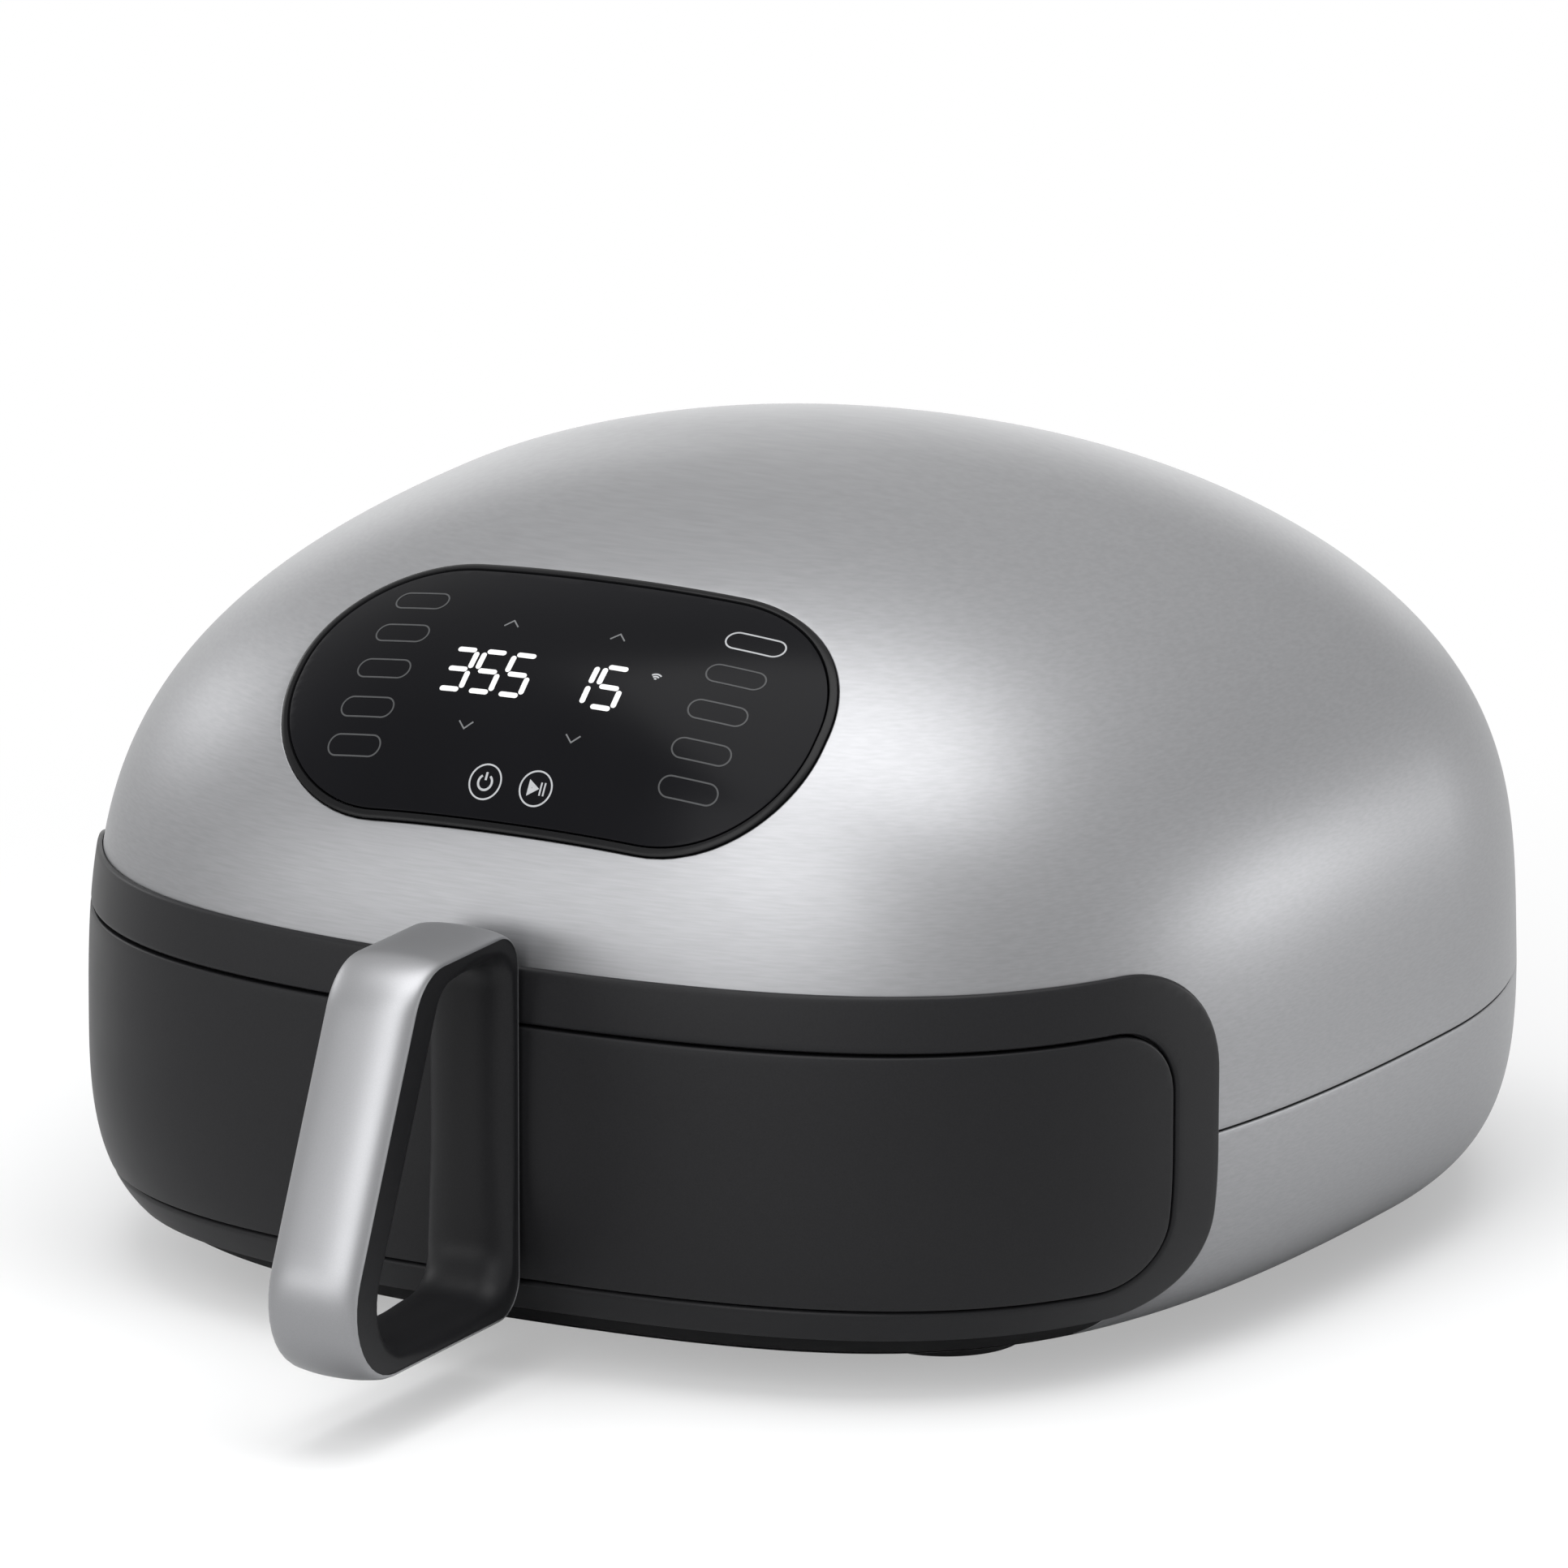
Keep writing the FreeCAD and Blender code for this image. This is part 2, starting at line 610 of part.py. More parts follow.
def pan_plan(sketch, grow):
    """Draw the pan's rounded plan, grown all round."""
    half = f"(pan_half_width + {grow})"
    radius = f"pan_corner + {grow}"
    return outline(sketch, [
        (f"-{half}", f"{PAN_FRONT} - ({grow})", radius), (half, f"{PAN_FRONT} - ({grow})", radius),
        (half, f"{PAN_REAR} + {grow}", radius), (f"-{half}", f"{PAN_REAR} + {grow}", radius)])


def level_edge(height):
    """Return a test for edges that lie level at a height."""
    wanted = value(height)
    return lambda edge: all(abs(point.z - wanted) < 1e-3 for point in edge.discretize(3))


def pan_form(name, grow, floor, radius):
    """Return the pan's rounded block from a floor height to the rim."""
    body = new_body(name)
    plan = pan_plan(sketch_on(body, name + "_plan", "XY_Plane", floor), grow)
    pad(body, plan, f"pan_rim - ({floor})")
    fillet(body, radius, level_edge(floor))
    return body


def build_pan():
    """Make the drawn pan with its rolled lip."""
    outer = pan_form("pan_outer", "0", "pan_floor", "pan_bottom_radius")
    lip = pan_plan(sketch_on(outer, "pan_lip_plan", "XY_Plane", "pan_rim - pan_lip_height"), "pan_lip")
    pad(outer, lip, "pan_lip_height")
    inner = pan_form("pan_inner", "-pan_wall", "pan_floor + pan_wall", "pan_bottom_radius - pan_wall")
    finish("basket_pan", cut("pan_cut", outer, inner))


def handle_face(inset, level_inset, rear_inset):
    """Return the corners of the handle's side outline, drawn in at its slope, its levels and its rear."""
    slant = "sqrt(handle_lean ^ 2 + 1)"
    vertex = (f"(handle_reach - proud - handle_toe_radius + handle_toe_radius / ({slant} - handle_lean))")
    base = f"({FRONT} - proud - {vertex} + ({inset}) * {slant})"
    low = f"handle_bottom + {level_inset}"
    high = f"handle_top - {level_inset}"
    rear = f"{HANDLE_REAR} - {rear_inset}"
    return [
        (f"{base} + handle_lean * ({level_inset})", low, f"handle_toe_radius - {inset}"),
        (rear, low, f"handle_heel_radius - {level_inset}"),
        (rear, high, f"handle_heel_radius - {level_inset}"),
        (f"{base} + handle_lean * (handle_top - handle_bottom - {level_inset})", high,
         f"handle_brow_radius - {inset}"),
    ]


def handle_window():
    """Return the corners of the finger opening through the handle."""
    front_low, low, _ = handle_face("handle_bar", "handle_foot", "handle_back")[0]
    front_high, high, _ = handle_face("handle_bar", "handle_bridge", "handle_back")[3]
    rear = f"{HANDLE_REAR} - handle_back"
    return [(front_low, low, "window_toe_radius"), (rear, low, "window_heel_radius"),
            (rear, high, "window_radius"), (front_high, high, "window_radius")]


def handle_solid(name, insets, width):
    """Return the handle's side outline, drawn in by insets, as a bar of the given width."""
    body = new_body(name)
    sketch = outline(sketch_on(body, name + "_outline", "YZ_Plane"), handle_face(*insets))
    pad(body, sketch, width, midplane=True)
    return body


def window_rim(edge, rims):
    """Return whether an edge lies on a side face of the core but on none of its outer rims."""
    side = value("handle_width / 2 - core_recess")
    on_side = all(abs(abs(point.x) - side) < 1e-3 for point in edge.discretize(3))
    return on_side and all((edge.CenterOfMass - rim).Length > 1e-3 for rim in rims)


def build_handle(forms):
    """Make the bright outer band and the dark core with its finger opening."""
    outer = handle_solid("handle_outer", ("0", "0", "0"), "handle_width")
    fillet(outer, "handle_edge_radius", lambda edge: abs(
        abs(edge.CenterOfMass.x) - value("handle_width / 2")) < 1e-3)
    insets = ("handle_band", "handle_cap", "handle_trim")
    filling = handle_solid("handle_filling", insets, "2 * handle_width")
    finish("handle_band_cover", cut("band_ring", outer, filling))
    core = handle_solid("handle_core_body", insets, "handle_width - 2 * core_recess")
    doc.recompute()
    rims = [edge.CenterOfMass for edge in core.Shape.Edges]
    window = outline(sketch_on(core, "handle_window_outline", "YZ_Plane"), handle_window())
    pocket(core, window, "handle_width", midplane=True)
    fillet(core, "window_edge_radius", lambda edge: window_rim(edge, rims))
    finish("handle_core", core)
    for place_name in ("low", "high"):
        boss = rod(f"boss_{place_name}", "handle_boss_radius", "handle_standoff + proud + drawer_wall",
                   "0", HANDLE_REAR, f"handle_boss_{place_name}", Vector(0, 1, 0))
        finish(f"handle_boss_{place_name}", cut(f"boss_seat_{place_name}", boss, forms["proud"]))


# Crisper plate

def build_plate():
    """Make the perforated crisper plate and its four silicone bumpers."""
    body = new_body("plate_body")
    grow = "-(pan_wall + plate_gap)"
    level = "pan_floor + pan_wall + plate_height"
    top = f"{level} + plate_thickness"
    slab = pan_plan(sketch_on(body, "plate_plan", "XY_Plane", level), grow)
    pad(body, slab, "plate_thickness + plate_rim")
    hollow = sketch_on(body, "plate_hollow", "XY_Plane", f"{top} + plate_rim")
    pocket(body, pan_plan(hollow, f"{grow} - plate_thickness"), "plate_rim")
    holes = sketch_on(body, "plate_holes", "XY_Plane", top)
    for column in range(int(value("plate_columns"))):
        circle(holes, f"plate_hole_pitch * ({column} - (plate_columns - 1) / 2)",
               f"{FAN_Y} - plate_hole_pitch * (plate_rows - 1) / 2", "plate_hole_radius")
    first = pocket(body, holes, "plate_thickness")
    repeat_row(body, first, holes, "V_Axis", "plate_hole_pitch * (plate_rows - 1)", "plate_rows")
    finish("crisper_plate", body)
    across = "(pan_half_width - pan_corner)"
    along = "(pan_length / 2 - pan_corner)"
    for side, sign in (("left", "-"), ("right", "")):
        for end, step in (("front", "-"), ("rear", "+")):
            finish(f"bumper_{end}_{side}", cylinder(
                f"bumper_form_{end}_{side}", "bumper_radius", "plate_height - running_gap",
                f"{sign}{across}", f"{FAN_Y} {step} {along}",
                "pan_floor + pan_wall + running_gap"))


# Cooking chamber

def chamber_plan(sketch, grow, front):
    """Draw the chamber's plan: square at the mouth and rounded at the rear."""
    half = f"({CHAMBER_HALF} + {grow})"
    rear = f"{PAN_REAR} + chamber_gap + {grow}"
    radius = f"pan_corner + chamber_gap + {grow}"
    return outline(sketch, [
        (f"-{half}", front, None), (half, front, None),
        (half, rear, radius), (f"-{half}", rear, radius)])


def build_chamber():
    """Make the sheet-metal chamber, its roof, the heater hood and the floor rails."""
    tub = new_body("chamber_body")
    plan = chamber_plan(sketch_on(tub, "chamber_plan", "XY_Plane", "chamber_floor - sheet"),
                        "sheet", CHAMBER_FRONT)
    pad(tub, plan, "chamber_top - chamber_floor + sheet")
    inside = chamber_plan(sketch_on(tub, "chamber_inside", "XY_Plane", "chamber_top"),
                          "0", f"{CHAMBER_FRONT} - sheet")
    pocket(tub, inside, "chamber_top - chamber_floor")
    finish("cooking_chamber", tub)

    roof = new_body("roof_body")
    plan = chamber_plan(sketch_on(roof, "roof_plan", "XY_Plane", "chamber_top"), "sheet", CHAMBER_FRONT)
    pad(roof, plan, "sheet")
    hole = circle(sketch_on(roof, "roof_hole", "XY_Plane", HOOD_BASE), "0", FAN_Y, "hood_mouth")
    pocket(roof, hole, "sheet")
    probe_hole = circle(sketch_on(roof, "probe_hole", "XY_Plane", HOOD_BASE), "probe_across",
                        f"{PAN_REAR} - probe_length", "probe_radius + shaft_clearance")
    pocket(roof, probe_hole, "sheet")
    finish("chamber_roof", roof)

    hood = cut("hood_cup", cylinder("hood_outer", "hood_radius", f"{HOOD_TOP} + sheet - {HOOD_BASE}",
                                    "0", FAN_Y, HOOD_BASE),
               cylinder("hood_inner", "hood_radius - sheet", f"{HOOD_TOP} - {HOOD_BASE}",
                        "0", FAN_Y, HOOD_BASE))
    finish("heater_hood", cut("hood_bored", hood, shaft_bore("hood_bore", "2")))
    for side, place_x in (("left", "-rail_offset - rail_width"), ("right", "rail_offset")):
        finish(f"{side}_rail", box(
            f"rail_form_{side}", "rail_width", "rail_length",
            "pan_floor - running_gap - chamber_floor",
            place_x, CHAMBER_FRONT, "chamber_floor"))


def shaft_bore(name, widening):
    """Return a bore on the fan axis that the shaft passes through."""
    return cylinder(name, f"shaft_radius + {widening}", "2 * crown_height", "0", FAN_Y, "0")


# Heaters

def build_heaters():
    """Make the upper coil with its posts, the guard, and the lower loop."""
    level = f"({HOOD_TOP} - coil_drop)"
    pieces = [torus("coil_outer", "outer_coil", "tube_radius", "0", FAN_Y, level),
              torus("coil_inner", "inner_coil", "tube_radius", "0", FAN_Y, level)]
    for index, sign in enumerate(("", "-")):
        start = "inner_coil" if sign == "" else "-outer_coil"
        pieces.append(rod(f"coil_link_{index}", "post_radius", "outer_coil - inner_coil",
                          "0", f"{FAN_Y} + ({start})", level, Vector(0, 1, 0)))
        pieces.append(cylinder(f"coil_post_{index}", "post_radius", f"{HOOD_TOP} - {level}",
                               "0", f"{FAN_Y} + ({sign}outer_coil)", level))
    finish("upper_heater", fuse("upper_coil", *pieces))
    build_guard()
    build_lower_heater()


def build_guard():
    """Make the slotted disc that covers the hood's mouth."""
    body = new_body("guard_body")
    disc = circle(sketch_on(body, "guard_disc", "XY_Plane"), "0", "0", "guard_radius")
    pad(body, disc, "guard_thickness")
    slots = sketch_on(body, "guard_slot", "XY_Plane", "guard_thickness")
    draw_slot(slots, "guard_eye", "guard_waist - guard_web / 2", "guard_inner_slot / 2")
    draw_slot(slots, "guard_waist + guard_web / 2", "hood_mouth - guard_web", "guard_outer_slot / 2")
    cut_slot = pocket(body, slots, "guard_thickness")
    repeat_round(body, cut_slot, slots, "guard_slots")
    place(body, "0", FAN_Y, HOOD_BASE)
    finish("heater_guard", body)


def draw_slot(sketch, start, end, half):
    """Draw one straight-sided radial slot in a sketch that may hold others."""
    first = sketch.GeometryCount
    corners = [(start, f"-({half})"), (end, f"-({half})"), (end, half), (start, half)]
    points = [Vector(value(x), value(y), 0) for x, y in corners]
    for i in range(4):
        sketch.addGeometry(Part.LineSegment(points[i], points[(i + 1) % 4]))
    for i, (x, y) in enumerate(corners):
        sketch.addConstraint(Sketcher.Constraint("Coincident", first + (i - 1) % 4, 2, first + i, 1))
        pin_point(sketch, first + i, x, y)


def build_lower_heater():
    """Make the rounded heating loop under the pan, on three short posts."""
    body = new_body("lower_heater_body")
    level = "chamber_floor + lower_coil_lift"
    half = "lower_coil_half"
    path = outline(sketch_on(body, "lower_heater_path", "XY_Plane", level), [
        (f"-{half}", f"{FAN_Y} - {half}", "lower_coil_radius"),
        (half, f"{FAN_Y} - {half}", "lower_coil_radius"),
        (half, f"{FAN_Y} + {half}", "lower_coil_radius"),
        (f"-{half}", f"{FAN_Y} + {half}", "lower_coil_radius")])
    section = circle(sketch_on(body, "lower_heater_section", "XZ_Plane", f"-{FAN_Y}"),
                     half, level, "tube_radius")
    pipe = body.newObject("PartDesign::AdditivePipe", "lower_heater_pipe")
    pipe.Profile = section
    pipe.Spine = path
    posts = [
        cylinder(f"lower_post_{index}", "post_radius", "lower_coil_lift",
                 x, f"{FAN_Y} + {y}", "chamber_floor")
        for index, (x, y) in enumerate(((f"-{half}", "0"), (half, "0"), ("0", f"-{half}")))
    ]
    finish("lower_heater", fuse("lower_loop", body, *posts))


# Fan and motor

def bladed_wheel(name, radius, height, blades, bore):
    """Return a wheel of straight blades under a thin plate, bored for the shaft."""
    body = new_body(name)
    disc = sketch_on(body, name + "_disc", "XY_Plane", height)
    circle(disc, "0", "0", radius)
    pad(body, disc, "fan_plate", reverse=True)
    hub = circle(sketch_on(body, name + "_hub", "XY_Plane"), "0", "0", "hub_radius")
    pad(body, hub, height)
    blade = sketch_on(body, name + "_blade", "XY_Plane")
    outline(blade, [("hub_radius / 2", "-blade_thickness / 2", None),
                    (f"{radius} - blade_thickness", "-blade_thickness / 2", None),
                    (f"{radius} - blade_thickness", "blade_thickness / 2", None),
                    ("hub_radius / 2", "blade_thickness / 2", None)])
    first = pad(body, blade, height)
    repeat_round(body, first, blade, blades)
    centre = circle(sketch_on(body, name + "_bore", "XY_Plane", height), "0", "0", bore)
    pocket(body, centre, height)
    return body


def build_fan():
    """Make the shaft, the convection fan, the cooling fan, the nut and the motor."""
    wheel = bladed_wheel("convection_wheel", "fan_radius", "fan_height", "fan_blades", "shaft_radius")
    finish("convection_fan", place(wheel, "0", FAN_Y, f"{FAN_TOP} - fan_height"))
    cooler = bladed_wheel("cooling_wheel", "cooling_radius", "cooling_height", "cooling_blades",
                          "shaft_radius")
    finish("cooling_fan", place(cooler, "0", FAN_Y, f"{MOTOR_TOP} + cooling_gap"))
    low = f"({FAN_TOP} - fan_height - nut_height)"
    finish("fan_shaft", cylinder("shaft_form", "shaft_radius",
                                 f"{MOTOR_TOP} + cooling_gap + cooling_height - {low}", "0", FAN_Y, low))
    nut = new_body("nut_body")
    profile = sketch_on(nut, "nut_profile", "XY_Plane")
    outline(profile, [(f"nut_radius * cos({60 * side} deg)", f"nut_radius * sin({60 * side} deg)", None)
                      for side in range(6)])
    pad(nut, profile, "nut_height")
    bore = circle(sketch_on(nut, "nut_bore", "XY_Plane", "nut_height"), "0", "0", "shaft_radius")
    pocket(nut, bore, "nut_height")
    finish("fan_nut", place(nut, "0", FAN_Y, low))

    can = cylinder("motor_can", "motor_radius", "motor_length", "0", FAN_Y, MOTOR_BASE)
    finish("fan_motor", cut("motor_bored", can, shaft_bore("motor_bore", "shaft_clearance")))
    plate = cylinder("bracket_plate", "bracket_radius", "bracket_plate", "0", FAN_Y,
                     f"{MOTOR_BASE} - bracket_plate")
    legs = []
    for index in range(3):
        turn = f"{120 * index} deg"
        legs.append(cylinder(
            f"bracket_leg_{index}", "post_radius", "bracket_rise",
            f"(bracket_radius - hub_radius) * cos({turn})",
            f"{FAN_Y} + (bracket_radius - hub_radius) * sin({turn})", f"{HOOD_TOP} + sheet"))
    frame = fuse("bracket_frame", plate, *legs)
    finish("motor_bracket", cut("bracket_bored", frame, shaft_bore("bracket_bore", "2")))


# Rear fittings and small inner parts

def vent_prism(name, grow):
    """Return the rear vent's outline as a prism along the depth."""
    body = new_body(name)
    half = f"(vent_half + {grow})"
    radius = f"vent_radius + {grow}"
    sketch = outline(sketch_on(body, name + "_outline", "XZ_Plane", f"-({FRONT} + body_depth)"), [
        (f"-{half}", f"vent_bottom - {grow}", radius), (half, f"vent_bottom - {grow}", radius),
        (half, f"vent_top + {grow}", radius), (f"-{half}", f"vent_top + {grow}", radius)])
    pad(body, sketch, "body_depth / 2", midplane=True)
    return body


def vent_slots():
    """Return the row of level slots in the rear vent."""
    body = new_body("vent_slots")
    half = "(vent_half - vent_frame)"
    low = "vent_bottom + vent_frame"
    sketch = outline(sketch_on(body, "vent_slot_outline", "XZ_Plane", f"-({FRONT} + body_depth)"), [
        (f"-{half}", low, None), (half, low, None),
        (half, f"{low} + vent_slot", None), (f"-{half}", f"{low} + vent_slot", None)])
    first = pad(body, sketch, "body_depth / 2", midplane=True)
    repeat_row(body, first, sketch, "V_Axis", "vent_pitch * (vent_count - 1)", "vent_count")
    return body


def build_rear(forms):
    """Make the rear vent grille, the cord gland, the power board, the probe and the switch."""
    grille = common("vent_blank", cut("vent_skin", forms["body"], forms["cavity"]),
                    vent_prism("vent_form", "0"))
    finish("rear_vent", cut("vent_cut", grille, vent_slots()))
    barrel = rod("gland_barrel", "gland_radius", "gland_length", "0",
                 f"{FRONT} + body_depth - gland_length", "gland_height", Vector(0, 1, 0))
    flange = rod("gland_collar", "gland_flange", "shell_wall", "0",
                 f"{FRONT} + body_depth - gland_length", "gland_height", Vector(0, 1, 0))
    finish("cord_gland", fuse("gland_form", barrel, flange))
    finish("power_board", box("board_form", "2 * board_half", "board_length", "board_thickness",
                              "-board_half", f"{FRONT} + board_setback", "board_height"))
    finish("temperature_probe", fuse(
        "probe_form",
        cylinder("probe_stem", "probe_radius", "probe_length", "probe_across",
                 f"{PAN_REAR} - probe_length", f"{HOOD_BASE} - probe_length / 4"),
        cylinder("probe_collar", "probe_radius * 2", "sheet", "probe_across",
                 f"{PAN_REAR} - probe_length", HOOD_BASE)))
    finish("drawer_switch", box("switch_form", "switch_length", "switch_height", "switch_height",
                                "switch_across", f"{CHAMBER_FRONT} + recess_wall", HOOD_BASE))


def check_and_export():
    """Stop on any failed object, then write each sub-part to its own file."""
    doc.recompute()
    for obj in doc.Objects:
        if "Invalid" in obj.State or "Error" in obj.State:
            raise RuntimeError(f"{obj.Name} failed to build")
    for node, obj in nodes.items():
        shape = obj.Shape
        if shape.isNull() or not shape.isValid() or len(shape.Solids) != 1:
            raise RuntimeError(f"{node} is not one valid solid")
    os.makedirs("parts", exist_ok=True)
    for node, obj in nodes.items():
        obj.Shape.Solids[0].exportStep(f"parts/{node}.step")


def main():
    """Build every sub-part from the sheet and export it."""
    offsets = {
        "body": "0", "cavity": "-shell_wall", "proud": "proud", "surround_cavity": "-surround_wall",
        "drawer_cavity": "-drawer_wall", "bezel": "bezel_proud", "bezel_inside": "-bezel_depth",
        "glass": "glass_proud", "glass_inside": "glass_proud - glass_thickness",
        "display": "glass_proud - glass_thickness - running_gap",
        "display_inside": "glass_proud - glass_thickness - running_gap - display_thickness",
    }
    forms = {name: envelope(name + "_envelope", value(text)) for name, text in offsets.items()}
    build_shells(forms)
    build_panel(forms)
    build_drawer(forms)
    build_plate()
    build_chamber()
    build_heaters()
    build_fan()
    build_rear(forms)
    check_and_export()


main()
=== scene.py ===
"""Looks of a domed countertop air fryer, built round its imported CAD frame.

Shapes are worked out in millimetres, in the CAD's own frame, and become meshes in metres.
"""
import json
import logging
import math
from dataclasses import dataclass
from enum import Enum
from typing import Callable, Iterable, Sequence

import bpy
import numpy as np
from mathutils import Matrix, Vector
from mathutils.bvhtree import BVHTree


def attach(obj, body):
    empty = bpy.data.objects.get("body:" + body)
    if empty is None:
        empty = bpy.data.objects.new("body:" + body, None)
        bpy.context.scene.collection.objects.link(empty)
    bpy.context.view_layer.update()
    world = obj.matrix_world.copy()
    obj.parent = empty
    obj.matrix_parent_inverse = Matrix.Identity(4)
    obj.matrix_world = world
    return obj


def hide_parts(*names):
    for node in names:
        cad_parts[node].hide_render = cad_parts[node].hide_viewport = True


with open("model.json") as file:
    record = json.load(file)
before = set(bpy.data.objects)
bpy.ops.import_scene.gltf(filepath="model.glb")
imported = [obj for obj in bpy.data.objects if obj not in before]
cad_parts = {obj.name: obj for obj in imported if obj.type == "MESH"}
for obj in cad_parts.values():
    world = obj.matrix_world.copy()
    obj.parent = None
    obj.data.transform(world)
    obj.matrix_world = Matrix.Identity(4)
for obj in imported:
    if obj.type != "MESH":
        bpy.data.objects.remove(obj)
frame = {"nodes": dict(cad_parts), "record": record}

log = logging.getLogger("air_fryer")
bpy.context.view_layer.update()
MM = 0.001
TINY = 1e-9
Pair = tuple[float, float]
Triple = tuple[float, float, float]
Face = tuple[int, ...]
Array = np.ndarray
Keep = Callable[[Array], Array]
Piece = bpy.types.Object
Socket = bpy.types.NodeSocket


class Slot(Enum):
    """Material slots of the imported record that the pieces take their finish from."""

    SHELL = "silver_shell"
    TRIM = "black_trim"
    BASE = "base_black"
    BAND = "handle_silver"
    GLASS = "panel_glass"
    BEZEL = "bezel_black"
    RUBBER = "soft_rubber"
    STEEL = "chamber_steel"
    COAT = "nonstick_coat"
    HEATER = "heater_tube"
    FAN = "fan_metal"
    BOARD = "board_green"
    SWITCH = "switch_body"


class Body(Enum):
    """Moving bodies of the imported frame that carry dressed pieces."""

    HOUSING = "housing"
    DRAWER = "drawer"
    PLATE = "plate"


# Body form and the outlines that cut it


def bernstein(degree: int, place: Array) -> Array:
    """Weigh the poles of a Bezier curve.

    Args:
        degree: Degree of the curve.
        place: Parameters from 0 to 1.

    Returns:
        One weight per pole, in the last axis.
    """
    return np.stack([math.comb(degree, i) * place**i * (1 - place) ** (degree - i)
                     for i in range(degree + 1)], -1)


@dataclass(frozen=True)
class BodyForm:
    """Outer form of the body: Bezier quarters over a plan and a side profile."""

    front: float = -153.25
    half_width: float = 183.0
    depth: float = 404.0
    widest_setback: float = 226.0
    crown_height: float = 225.0
    crown_setback: float = 176.0
    parting_height: float = 67.0
    shoulder_rise: float = 65.0
    shoulder_rear_inset: float = 8.0
    brow_rise: float = 102.0
    brow_half_width: float = 198.0
    brow_rear_inset: float = 60.0
    crown_half_width: float = 114.0
    crown_front_inset: float = 41.0
    crown_rear_inset: float = 73.0
    belt_pulls: Pair = (0.83, 0.79)
    dome_pulls: Pair = (0.70, 0.70)
    rear_pulls: Pair = (0.52, 0.62)
    lower_drop: float = 41.0
    sill_inset: float = 6.0
    base_inset: float = 63.0
    base_height: float = 4.0
    base_top: float = 10.0
    wall: float = 2.5
    seam: float = 0.5

    def plan_poles(self, height: float, half: float, front: float, middle: float, rear: float,
                   pulls: Pair) -> list[list[Triple]]:
        """Lay out the right-hand plan poles at one height.

        Args:
            height: Height of the row.
            half: Half the width of the row.
            front: Front end of the row.
            middle: Where the row is widest.
            rear: Rear end of the row.
            pulls: How far the front quarter's inner poles reach towards its corner.

        Returns:
            The poles of the front and of the rear quarter, from the side to the middle line.
        """
        side, nose = pulls
        rear_side, rear_nose = self.rear_pulls
        return [
            [(half, middle, height), (half, middle - side * (middle - front), height),
             (nose * half, front, height), (0, front, height)],
            [(half, middle, height), (half, middle + rear_side * (rear - middle), height),
             (rear_nose * half, rear, height), (0, rear, height)],
        ]

    def dome_poles(self, grow: float) -> Array:
        """Lay out the dome's poles from the parting line to the crown.

        Args:
            grow: Distance by which the form is grown outwards.

        Returns:
            Poles by front or rear quarter, row and place in the row.
        """
        drift = (self.widest_setback - self.crown_setback) / self.half_width
        rows = [
            (self.parting_height, self.half_width, 0, self.widest_setback, 0, self.belt_pulls),
            (self.parting_height + self.shoulder_rise, self.half_width, 0, self.widest_setback,
             self.shoulder_rear_inset, self.belt_pulls),
            (self.parting_height + self.brow_rise + grow / 2, self.brow_half_width, 0,
             self.crown_setback + drift * self.brow_half_width, self.brow_rear_inset, self.dome_pulls),
            (self.crown_height + grow, self.crown_half_width, self.crown_front_inset,
             self.crown_setback + drift * self.crown_half_width, self.crown_rear_inset, self.dome_pulls),
        ]
        levels = [
            self.plan_poles(height, half + grow, self.front + inset - grow, self.front + middle,
                            self.front + self.depth - rear_inset + grow, pulls)
            for height, half, inset, middle, rear_inset, pulls in rows
        ]
        peak = [(0.0, self.front + self.crown_setback, self.crown_height + grow)] * 4
        return np.array(levels + [[peak, peak]]).transpose(1, 0, 2, 3)

    def lower_poles(self, grow: float) -> Array:
        """Lay out the lower body's poles from the parting line to the base.

        Args:
            grow: Distance by which the form is grown outwards.

        Returns:
            Poles by front or rear quarter, row and place in the row.
        """
        base = self.base_height - grow
        rows = [(self.parting_height, 0), (self.parting_height - self.lower_drop, 0),
                (base, self.sill_inset), (base, self.base_inset)]
        levels = [
            self.plan_poles(height, self.half_width - inset + grow, self.front + inset - grow,
                            self.front + self.widest_setback, self.front + self.depth - inset + grow,
                            self.belt_pulls)
            for height, inset in rows
        ]
        return np.array(levels).transpose(1, 0, 2, 3)

    def points(self, around: Array, up: Array, grow: float) -> Array:
        """Find points of the form.

        Args:
            around: Turn about the body: 0 front, 1 right, 2 rear, 3 left.
            up: Height from -1 at the base through 0 at the parting line to 1 at the crown.
            grow: Distance by which the form is grown outwards.

        Returns:
            Points in millimetres, in the last axis.
        """
        quarter = np.floor(around).astype(int) % 4
        local = around - np.floor(around)
        toward_middle = np.where(quarter % 2 == 0, 1 - local, local)
        across = bernstein(3, toward_middle)
        found = np.empty(around.shape + (3,))
        for upper, poles in ((True, self.dome_poles(grow)), (False, self.lower_poles(grow))):
            for half, quarters in enumerate(poles):
                rear = (quarter == 1) | (quarter == 2)
                chosen = ((up >= 0) == upper) & (rear == bool(half))
                weights = bernstein(len(quarters) - 1, np.abs(up[chosen]))
                found[chosen] = np.einsum("ki,kj,ijc->kc", weights, across[chosen], quarters)
        found[..., 0] *= np.where(quarter < 2, 1.0, -1.0)
        return found

